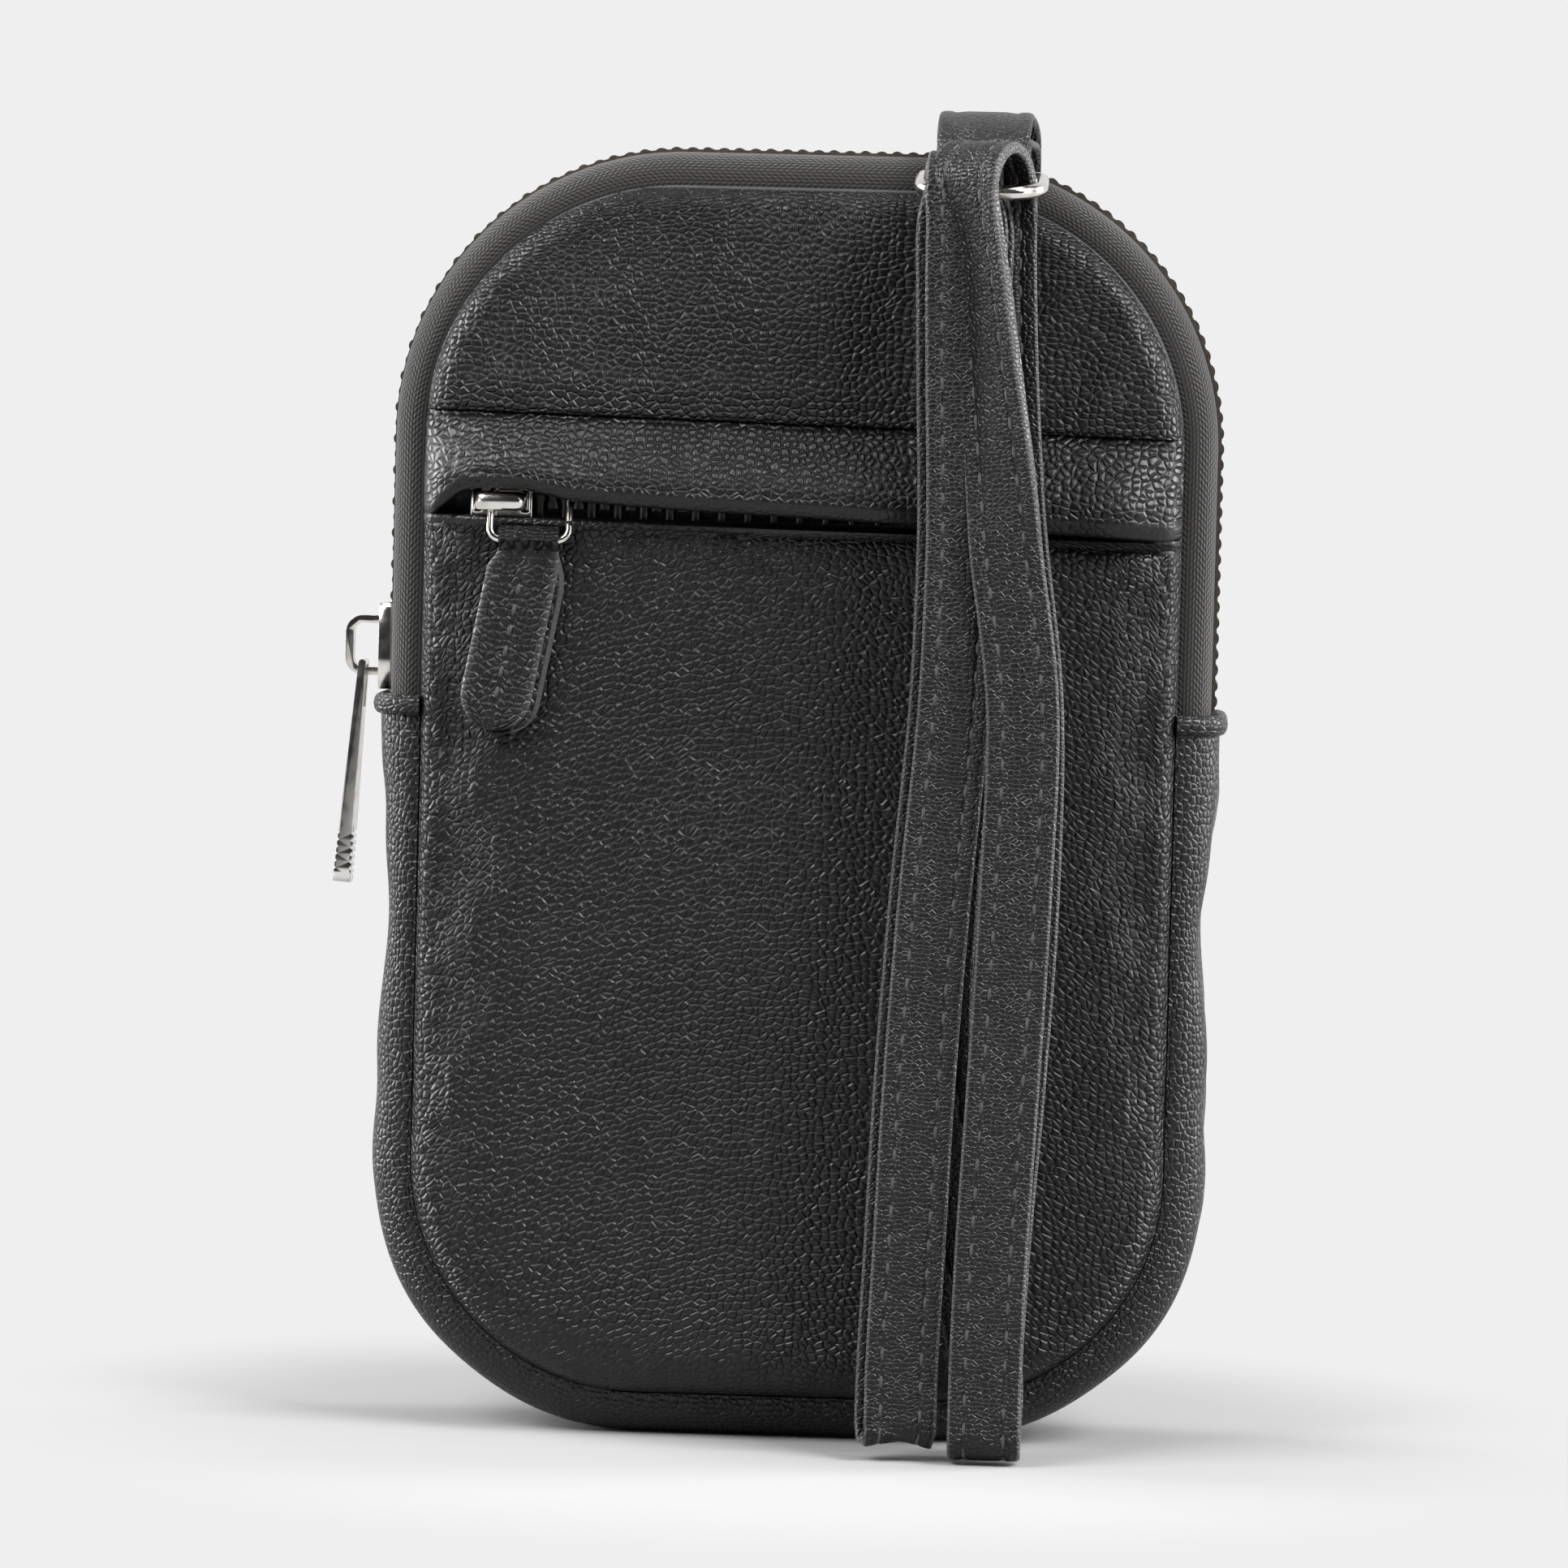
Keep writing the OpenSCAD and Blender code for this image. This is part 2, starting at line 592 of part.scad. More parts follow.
// The leather pull: one strip folded over the link's lower wire and closed face to face
tag_lean = 10.6;
tag_fold_w = 8.2;
tag_neck = 5;
tag_steps = 16;
tag_ply = leather_t;
wrap_r = link_wire / 2 + 2 * ply;
tag_back = clear + side_d / 2 + rise;
function tag_path() = let (rm = wrap_r + tag_ply / 2, back = -tag_back - tag_ply / 2,
        front = back - tag_ply - ply)
    concat([[front, wire_z - tag_l], [front, wire_z - tag_neck]],
        [for (i = [0:tag_steps]) let (a = 180 - 180 * i / tag_steps)
            [wire_y + rm * cos(a), wire_z + rm * sin(a)]],
        [[back, wire_z - tag_neck], [back, wire_z - tag_l]]);
function turned(p) = [p[0] * cos(tag_lean) + p[1] * sin(tag_lean),
    p[1] * cos(tag_lean) - p[0] * sin(tag_lean)];
module tag_front() {
    w = tag_w / 2;
    f = tag_fold_w / 2;
    top = wrap_r + tag_ply + over;
    translate([link_x, wire_z]) polygon(concat([[-f, top], [f, top], [f, -tag_ply]],
        [turned([w, -tag_neck])],
        [for (i = [0:tag_steps]) let (a = 180 * i / tag_steps)
            turned([w * cos(a), w - tag_l - w * sin(a)])],
        [turned([-w, -tag_neck]), [-f, -tag_ply]]));
}
module pocket_pull_leather() {
    color(black) intersection() {
        translate([link_x - link_w, 0, 0]) rotate([90, 0, 90]) linear_extrude(2 * link_w)
            strip(tag_path(), tag_ply);
        translate([0, -side_d / 2, 0]) rotate([90, 0, 0]) linear_extrude(side_d) tag_front();
    }
}

// Flap band over the pocket zip
// It is folded at its lower edge, and rides up and out over the slider and its link. From there
// its edge runs down evenly to the right
flap_clear = 0.7;
notch_h = 4.6;
notch_level = 4.8;
notch_fall = 5;
lift_h = 2.6;
lift_level = 8;
lift_fall = 9;
flap_col_share = [-1, -0.985, -0.96, -0.93, -0.9, -0.87, -0.84, -0.8, -0.76, -0.72, -0.68, -0.64,
    -0.6, -0.55, -0.5, -0.44, -0.37, -0.28, 0, 0.3, 0.6, 0.8, 0.9, 0.95, 0.98, 1];
// Down the front of the band, round the fold and up its back
flap_down_share = [0, 0.25, 0.5, 0.7, 0.85, 0.95];
fold_share = [0.25, 0.75];
flap_loop = concat([for (u = flap_down_share) [u, 0]], [for (v = fold_share) [1, v]],
    [for (i = [5:-1:0]) [flap_down_share[i], 1]]);
notch_x = pocket_slider_x - notch_level;
function flap_low(x) = flap_edge + notch_h * (x < notch_x ? bump(x, notch_x, 0, notch_fall)
    : (seam_half(0) - x) / (seam_half(0) - notch_x));
function flap_lift(x) = lift_h * bump(x, link_x, lift_level, lift_fall);
// v is 0 on the front of the band and 1 on its back
function flap_point(c, u, v) = let (inset = v * leather_t,
        x0 = c * seam_half(inset), z = flap_top - u * (flap_top - flap_low(x0)),
        x = c * reach(z, inset), front = -u * (flap_clear + flap_t),
        back = leather_t - u * (leather_t + flap_clear),
        sink = front + v * (back - front) - flap_lift(x) * sin(90 * u))
    [x, -skin(x, z, inset, sink), z];
function tube_faces(n, m) = concat(
    [for (i = [0:n - 2]) for (j = [0:m - 1]) let (k = (j + 1) % m)
        [i * m + j, i * m + k, (i + 1) * m + k]],
    [for (i = [0:n - 2]) for (j = [0:m - 1]) let (k = (j + 1) % m)
        [i * m + j, (i + 1) * m + k, (i + 1) * m + j]]);
module pocket_flap() {
    n = len(flap_col_share);
    m = len(flap_loop);
    h = m / 2;
    color(black) polyhedron(
        points = [for (c = flap_col_share) for (q = flap_loop) flap_point(c, q[0], q[1])],
        faces = concat(tube_faces(n, m),
            [for (j = [0:h - 2]) [j, m - 1 - j, m - 2 - j]],
            [for (j = [0:h - 2]) [j, m - 2 - j, j + 1]],
            [for (j = [0:h - 2]) let (o = (n - 1) * m) [o + j, o + m - 2 - j, o + m - 1 - j]],
            [for (j = [0:h - 2]) let (o = (n - 1) * m) [o + j, o + j + 1, o + m - 2 - j]]));
}

// Ring, its tab and the strap
ring_r = ring_wire / 2;
tab_t = leather_t;
tab_fit = 0.15;
ring_rear_r = 1.3;
ring_front_r = 4.5;
// The ring's rear bar lies in front of the rounded edge of the side, with the tab between them,
// this angle above the seam. The ring reaches forward to its front bar, where the strap hangs
bar_turn = 12;
bar_fit = 0.5;
bar_reach = seam_in + bar_fit + tab_t + tab_fit + ring_r;
bar_y = flat_half + bar_reach * cos(bar_turn);
bar_z = bag_h - seam_in + bar_reach * sin(bar_turn);
ring_l = 10.7;
ring_lean = 12;
front_y = bar_y + ring_l * cos(ring_lean);
front_z = bar_z - ring_l * sin(ring_lean);
module d_ring() {
    color(nickel) translate([ring_x, -bar_y, bar_z]) rotate([ring_lean, 0, 0])
        wire_loop(ring_w, ring_l, ring_wire, ring_rear_r, ring_front_r);
}

// The tab: a strip that wraps the rear bar. Its lower layer lies over the zip to the back seam,
// and its upper layer arches above that to the same seam
function curve(p, t) = pow(1 - t, 3) * p[0] + 3 * t * pow(1 - t, 2) * p[1]
    + 3 * t * t * (1 - t) * p[2] + pow(t, 3) * p[3];
tab_steps = 12;
tab_under_share = 0.5;
tab_turn = 150;
module ring_tab() {
    rm = ring_r + tab_fit + tab_t / 2;
    lay = bar_reach - rm;
    end_z = bag_h - seam_in + clear;
    far_y = flat_half + lay + tab_t + ply;
    from = [rm * cos(tab_turn) - bar_y, rm * sin(tab_turn) + bar_z];
    peak = bag_h + tab_rise - tab_t / 2;
    // Height of the two middle points that brings the curve's middle to the peak
    pull_up = (8 * peak - from[1] - end_z) / 6;
    away = (pull_up - from[1]) / tan(tab_turn - 90);
    upper = [from, [from[0] + away * tab_under_share, pull_up], [far_y, pull_up], [far_y, end_z]];
    path = concat([[flat_half + lay, end_z]],
        [for (i = [1:tab_steps]) let (a = 90 * i / tab_steps)
            [flat_half + lay * cos(a), bag_h - seam_in + lay * sin(a)]],
        [for (i = [0:tab_steps]) let (a = 90 - (90 - bar_turn) * i / tab_steps)
            [-flat_half - lay * cos(a), bag_h - seam_in + lay * sin(a)]],
        [for (i = [1:tab_steps]) let (a = -bar_turn - (360 - tab_turn - bar_turn) * i / tab_steps)
            [rm * cos(a) - bar_y, rm * sin(a) + bar_z]],
        [for (i = [1:tab_steps]) curve(upper, i / tab_steps)]);
    color(black) translate([ring_x - tab_w / 2, 0, 0]) rotate([90, 0, 90])
        linear_extrude(tab_w) strip(path, tab_t);
}

// The strap is one endless band. It hangs in six runs, three times over the ring's front bar, and
// is gathered again near the floor. Runs are counted from the bag outward, and each wrap joins a
// run behind the bar with one before it.
strap_gap = 0.25;
strap_pitch = strap_t + strap_gap;
wrap_in = ring_r + strap_gap + strap_t / 2;
floor_gap = 0.5;
// Heights along a run as shares of the bar's height
run_share = [0.07, 0.17, 0.3, 0.45, 0.6, 0.72, 0.765, 0.85, 0.93, 0.975];
// Sideways place of the two inner wraps and of the outer one, in strap widths from the ring's
// middle, at the same heights
near_share = [-0.6, -0.55, -0.45, -0.3, -0.2, -0.08, -0.05, -0.02, 0, 0];
far_share = [0.6, 0.68, 0.8, 0.9, 0.84, 0.7, 0.62, 0.4, 0.14, 0.04];
// Share of the way from where a run hangs to its place in the wrap over the bar
wrap_share = [0, 0, 0, 0, 0, 0, 0, 0.1, 0.5, 0.85];

// The strap hangs clear of the flap and of the pocket pull that slides behind it
hang_out = max(side_d / 2 + rise + flap_clear + flap_t, wrap_r + tag_ply - wire_y);
function hang_y(j) = -(hang_out + clear + strap_t / 2 + strap_pitch * j);
function over_y(j) = -front_y - (j > 2 ? wrap_in + strap_pitch * (j - 3)
    : -wrap_in - strap_pitch * (2 - j));
function run_y(j, i) = hang_y(j) + wrap_share[i] * (over_y(j) - hang_y(j));
function run_x(j, i) = ring_x + strap_w * (j == 0 || j == 5 ? far_share[i] : near_share[i]);
function run_point(j, i) = [run_x(j, i), run_y(j, i), run_share[i] * front_z];
last_i = len(run_share) - 1;
function run_up(j) = [for (i = [0:last_i]) run_point(j, i)];
function run_down(j) = [for (i = [last_i:-1:0]) run_point(j, i)];
wrap_steps = 8;
// Over the bar: way is 1 from the front to the back and -1 the other way
function wrap(k, way) = let (r = wrap_in + k * strap_pitch) [for (i = [0:wrap_steps])
    let (a = 180 * i / wrap_steps) [ring_x, -front_y - way * r * cos(a), front_z + r * sin(a)]];
low_z = floor_gap + strap_t / 2;
bend_z = 2 * low_z + strap_pitch;
// At the floor, from one run to the next: straight under, or across from one pile to the other
function bend(j0, j1) = let (a = run_point(j0, 0), b = run_point(j1, 0), m = (a + b) / 2,
        r = strap_pitch / 2)
    [for (i = [0:4]) let (t = 180 * i / 4)
        [m[0], m[1] + (a[1] - b[1]) / 2 * cos(t), bend_z - r * sin(t)]];
cross_share = [[0.04, 2], [0.2, 1], [0.5, 1], [0.8, 1], [0.96, 2]];
function cross_over(j0, j1) = let (a = run_point(j0, 0), b = run_point(j1, 0))
    [for (s = cross_share) [a[0] + (b[0] - a[0]) * s[0], a[1] + (b[1] - a[1]) * s[0],
        low_z * s[1]]];

strap_path = concat(run_up(5), wrap(2, 1), run_down(0), cross_over(0, 1), run_up(1), wrap(1, -1),
    run_down(4), bend(4, 3), run_up(3), wrap(0, 1), run_down(2), cross_over(2, 5));

module strap() {
    n = len(strap_path);
    pts = [for (i = [0:n - 1]) let (p = strap_path[i], a = strap_path[(i + n - 1) % n],
            b = strap_path[(i + 1) % n], d = [b[1] - a[1], b[2] - a[2]], u = d / norm(d),
            nv = [0, -u[1], u[0]] * strap_t / 2, w = [strap_w / 2, 0, 0])
        each [p - w - nv, p + w - nv, p + w + nv, p - w + nv]];
    color(black) polyhedron(points = pts, faces = concat(
        [for (i = [0:n - 1]) for (j = [0:3]) let (k = (j + 1) % 4, m = (i + 1) % n)
            [i * 4 + j, i * 4 + k, m * 4 + k]],
        [for (i = [0:n - 1]) for (j = [0:3]) let (k = (j + 1) % 4, m = (i + 1) % n)
            [i * 4 + j, m * 4 + k, m * 4 + j]]));
}

front_upper_panel();
pocket_flap();
pocket_panel();
back_panel();
bottom_gusset();
gusset_end_left();
gusset_end_right();
seam_binding_front();
seam_binding_back();
foam_front();
foam_back();
lining_front();
lining_back();
lining_gusset();
pocket_lining();
zip_tape_front();
zip_tape_back();
zip_coil_front();
zip_coil_back();
main_slider();
main_pull_bar();
pocket_tape_upper();
pocket_tape_lower();
pocket_coil_upper();
pocket_coil_lower();
pocket_slider();
pocket_pull_link();
pocket_pull_leather();
ring_tab();
d_ring();
strap();
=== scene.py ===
import math

import bpy
import numpy as np
from mathutils import Matrix, Vector
from mathutils.kdtree import KDTree


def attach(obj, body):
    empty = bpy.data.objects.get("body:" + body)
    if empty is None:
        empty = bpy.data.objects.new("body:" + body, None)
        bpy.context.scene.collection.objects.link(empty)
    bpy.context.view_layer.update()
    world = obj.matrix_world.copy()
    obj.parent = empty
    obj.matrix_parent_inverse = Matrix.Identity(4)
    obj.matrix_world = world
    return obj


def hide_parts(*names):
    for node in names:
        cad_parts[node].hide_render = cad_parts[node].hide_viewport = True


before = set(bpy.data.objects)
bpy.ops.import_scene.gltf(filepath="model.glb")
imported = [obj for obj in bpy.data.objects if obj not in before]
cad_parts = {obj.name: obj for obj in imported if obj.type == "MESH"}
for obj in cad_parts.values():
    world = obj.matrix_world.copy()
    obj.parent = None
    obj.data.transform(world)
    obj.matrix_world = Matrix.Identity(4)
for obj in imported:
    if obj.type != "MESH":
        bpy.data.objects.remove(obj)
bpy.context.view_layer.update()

MM = 0.001

# Sizes of the pouch in millimetres, as in the part's source
BAG_W, BAG_H, SIDE_D = 117, 180, 26
TOP_R, BOTTOM_R, SEAM_IN, FLAT_HALF = 41, 38, 6, 7
GUSSET_TOP, LEATHER_T, LINING_T, FOAM_T, PLY = 102.5, 1.2, 0.5, 1.2, 0.1
EDGE_RISE, EDGE_REACH, CROWN_RISE, CROWN_REACH = 3.2, 3.4, 1.8, 26
RISE = EDGE_RISE + CROWN_RISE
BIND_W, BIND_D = 3, 2.2
ROLL_H, ROLL_T = 2.9, 1.9
ZIP_DEPTH, TAPE_T, TAPE_GAP, TAPE_TUCK = 1.3, 0.6, 0.9, 2.4
FLAP_TOP, FLAP_T, FLAP_CLEAR = 141.3, 2, 0.7
POCKET_TOP, POCKET_ZIP_Z, POCKET_ZIP_Y, POCKET_HALF = 126, 129.8, 15.9, 46
POCKET_TAPE_T, POCKET_TAPE_GAP, POCKET_TAPE_UP, POCKET_TAPE_DOWN = 0.5, 0.74, 14, 11
LINK_X, WIRE_Y, WIRE_Z, WRAP_R = -37.25, -20.156, 124.56, 0.75
TAG_L, TAG_W, TAG_FOLD_W, TAG_NECK, TAG_LEAN, TAG_BACK = 26.8, 9.8, 8.2, 5, 10.6, 18.3
RING_X, RING_R, TAB_W, TAB_T, TAB_RISE, TAB_FIT = 23.8, 1, 13, 1.2, 5.4, 0.15
BAR_TURN, BAR_REACH, TAB_TURN = 12, 8.85, 150
BAR_Y, BAR_Z, FRONT_Y, FRONT_Z = 15.657, 175.84, 26.123, 173.615
STRAP_T, STRAP_GAP, FLOOR_GAP, CLEAR = 1.8, 0.25, 0.5, 0.3
# Pitch of the stitches on the panels, the strap and the pull leather
PANEL_STITCH, STRAP_STITCH, TAG_STITCH = 3.6, 3.9, 2.9

# Material slots of the record
LEATHER, STRAP, CLOTH, FOAM, TAPE, NICKEL = (
    "pebbled_leather", "strap_leather", "lining_cloth", "foam", "zip_tape", "nickel")


# The pouch's own surface, from its seams

def seam_half(inset):
    return BAG_W / 2 - SEAM_IN - inset


def seam_low(inset):
    return SEAM_IN + inset


def seam_high(inset):
    return BAG_H - SEAM_IN - inset


def corner_r(z, inset):
    return np.where(z > BAG_H / 2, TOP_R, BOTTOM_R) - SEAM_IN - inset


def past_corner(z, inset):
    edge = np.where(z > BAG_H / 2, seam_high(inset) - z, z - seam_low(inset))
    return corner_r(z, inset) - edge


def reach(z, inset):
    """Half of the outline's width at a height."""
    r = corner_r(z, inset)
    dz = np.maximum(past_corner(z, inset), 0)
    return seam_half(inset) - r + np.sqrt(np.maximum(r * r - dz * dz, 0))


def depth_in(x, z, inset):
    """Distance of a point inside the outline from the outline."""
    r = corner_r(z, inset)
    qx, qz = np.abs(x) - seam_half(inset) + r, past_corner(z, inset)
    return (r - np.hypot(np.maximum(qx, 0), np.maximum(qz, 0))
            - np.minimum(np.maximum(qx, qz), 0))


def skin(x, z, inset, sink):
    """Distance of the front surface from the middle of the pouch."""
    d = np.maximum(depth_in(x, z, inset), 0)
    edge = np.sqrt(1 - (1 - np.minimum(d / EDGE_REACH, 1)) ** 2)
    crown = 1 - (1 - np.minimum(d / CROWN_REACH, 1)) ** 2
    return SIDE_D / 2 + (RISE - sink) * (EDGE_RISE * edge + CROWN_RISE * crown) / RISE


def hump(x, at, level, fall):
    """A smooth hump of height 1 with a level top."""
    e = np.clip((np.abs(x - at) - level) / fall, 0, 1)
    return np.cos(e * np.pi / 2) ** 2


def ease(x, a, b):
    """0 before a, 1 after b and smooth between them."""
    t = np.clip((x - a) / (b - a), 0, 1)
    return t * t * (3 - 2 * t)


def along(points):
    """The length reached at each place of a line."""
    return np.concatenate([[0], np.cumsum(np.linalg.norm(np.diff(points, axis=0), axis=1))])


def read_at(want, at, values):
    """Rows of values, given at some lengths, read at other ones."""
    return np.stack([np.interp(want, at, column) for column in values.T], -1)


def unit(v):
    return v / np.linalg.norm(v, axis=-1, keepdims=True)


# Meshes

def only(o):
    """Selects one piece and makes it active."""
    bpy.ops.object.select_all(action="DESELECT")
    o.select_set(True)
    bpy.context.view_layer.objects.active = o


def net(name, points, u=None, v=None):
    """A grid primitive whose vertices are moved to points, an array of rows of places in
    millimetres. u and v are lengths along and across, kept in the UV map in metres."""
    rows, cols = points.shape[:2]
    bpy.ops.object.select_all(action="DESELECT")
    bpy.ops.mesh.primitive_grid_add(x_subdivisions=cols - 1, y_subdivisions=rows - 1, size=1)
    o = bpy.context.object
    o.name = o.data.name = name
    mesh = o.data
    co = np.zeros(len(mesh.vertices) * 3)
    mesh.vertices.foreach_get("co", co)
    co = co.reshape(-1, 3)
    i = np.rint((co[:, 0] + 0.5) * (cols - 1)).astype(int)
    j = np.rint((co[:, 1] + 0.5) * (rows - 1)).astype(int)
    mesh.vertices.foreach_set("co", (points[j, i] * MM).astype(np.float32).ravel())
    if u is not None:
        at = np.zeros(len(mesh.loops), int)
        mesh.loops.foreach_get("vertex_index", at)
        u, v = np.broadcast_to(u, (rows, cols)), np.broadcast_to(v, (rows, cols))
        uv = np.stack([u[j[at], i[at]], v[j[at], i[at]]], -1) * MM
        mesh.uv_layers[0].data.foreach_set("uv", uv.astype(np.float32).ravel())
    mesh.update()
    return o


def lengths(points):
    """Lengths along the rows and down the columns of an array of places."""
    across = np.linalg.norm(np.diff(points, axis=1), axis=2)
    down = np.linalg.norm(np.diff(points, axis=0), axis=2)
    u = np.pad(np.cumsum(across, 1), ((0, 0), (1, 0)))
    v = np.pad(np.cumsum(down, 0), ((1, 0), (0, 0)))
    return u - u[:, u.shape[1] // 2][:, None], v


def mark(o, points, value, name="bare"):
    """Keeps a value for each place of a net, such as 1 where the leather is bare of grain."""
    rows, cols = points.shape[:2]
    mesh = o.data
    co = np.zeros(len(mesh.vertices) * 3)
    mesh.vertices.foreach_get("co", co)
    tree = KDTree(len(mesh.vertices))
    for i, q in enumerate(points.reshape(-1, 3)):
        tree.insert(q * MM, i)
    tree.balance()
    near = [tree.find(q)[1] for q in co.reshape(-1, 3)]
    values = np.broadcast_to(value, (rows, cols)).ravel()[near].astype(np.float32)
    mesh.attributes.new(name, "FLOAT", "POINT").data.foreach_set("value", values)


def cap(o):
    """Closes the open ends of a piece."""
    only(o)
    bpy.ops.object.mode_set(mode="EDIT")
    bpy.ops.mesh.select_all(action="DESELECT")
    bpy.ops.mesh.select_non_manifold()
    bpy.ops.mesh.edge_face_add()
    bpy.ops.mesh.select_all(action="SELECT")
    bpy.ops.mesh.normals_make_consistent(inside=False)
    bpy.ops.object.mode_set(mode="OBJECT")


def face_out(o, centre=(0, 0, 90)):
    """Turns an open sheet's faces away from the middle of the pouch."""
    c = Vector(centre) * MM
    total = sum((p.center - c).normalized().dot(p.normal) * p.area for p in o.data.polygons)
    if total < 0:
        o.data.flip_normals()


def close(o):
    """Joins the ends of a closed net and turns its faces outward."""
    only(o)
    bpy.ops.object.mode_set(mode="EDIT")
    bpy.ops.mesh.select_all(action="SELECT")
    bpy.ops.mesh.remove_doubles(threshold=1e-6)
    bpy.ops.mesh.normals_make_consistent(inside=False)
    bpy.ops.object.mode_set(mode="OBJECT")


def modify(o, kind, **settings):
    """Adds a modifier with its settings and applies it."""
    only(o)
    m = o.modifiers.new(kind.lower(), kind)
    for key, value in settings.items():
        setattr(m, key, value)
    bpy.ops.object.modifier_apply(modifier=m.name)


def smooth(o, degrees=50):
    only(o)
    bpy.ops.object.shade_smooth_by_angle(angle=math.radians(degrees))


def thicken(o, t, centre=(0, 0, 90)):
    """Gives a sheet its thickness, inward from the side that faces out."""
    face_out(o, centre)
    modify(o, "SOLIDIFY", thickness=t * MM, offset=-1)
    smooth(o)
    return o


def dress(o, body, slot, material, *nodes):
    """Rides the piece on its body, gives it its material, and hides what it stands for. Its slot
    is not used.
    """
    o.data.materials.clear()
    o.data.materials.append(material)
    if nodes:
        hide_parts(*nodes)
    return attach(o, body)


# Materials

def lin(code):
    """An sRGB hex colour as linear light."""
    c = [int(code[i:i + 2], 16) / 255 for i in (1, 3, 5)]
    return tuple(x / 12.92 if x <= 0.04045 else ((x + 0.055) / 1.055) ** 2.4 for x in c) + (1,)


def put(tree, kind, links=None, **settings):
    """Adds a node, sets what settings name on it or on its inputs, and links its inputs."""
    n = tree.nodes.new(kind)
    for key, value in settings.items():
        if hasattr(n, key):
            setattr(n, key, value)
        else:
            n.inputs[key.replace("_", " ")].default_value = value
    for key, output in (links or {}).items():
        tree.links.new(n.inputs[key], output)
    return n


def blank(name):
    """An empty material and its node tree."""
    m = bpy.data.materials.new(name)
    m.use_nodes = True
    m.node_tree.nodes.clear()
    return m, m.node_tree


def surface(tree, links, **settings):
    """The shader and the output of a material."""
    b = put(tree, "ShaderNodeBsdfPrincipled", links, **settings)
    put(tree, "ShaderNodeOutputMaterial", {"Surface": b.outputs[0]})
    return b


def ramp(tree, value, low, high, to_low=0.0, to_high=1.0):
    return put(tree, "ShaderNodeMapRange", {"Value": value}, From_Min=low, From_Max=high,
               To_Min=to_low, To_Max=to_high, interpolation_type="SMOOTHSTEP").outputs[0]


def calc(tree, operation, a, b):
    """A Math node on two outputs or numbers."""
    n = put(tree, "ShaderNodeMath", operation=operation)
    for i, x in enumerate((a, b)):
        if isinstance(x, (int, float)):
            n.inputs[i].default_value = x
        else:
            tree.links.new(n.inputs[i], x)
    return n.outputs[0]


def mix(tree, factor, a, b):
    """A colour between two hex colours or outputs."""
    n = put(tree, "ShaderNodeMix", {"Factor": factor}, data_type="RGBA")
    for i, x in ((6, a), (7, b)):
        if isinstance(x, str):
            n.inputs[i].default_value = lin(x)
        else:
            tree.links.new(n.inputs[i], x)
    return n.outputs[2]


# Roughness of the leather's polyurethane coat, and the colour of painted cut edges
GLOSS, EDGE_PAINT = 0.27, "#4a4949"


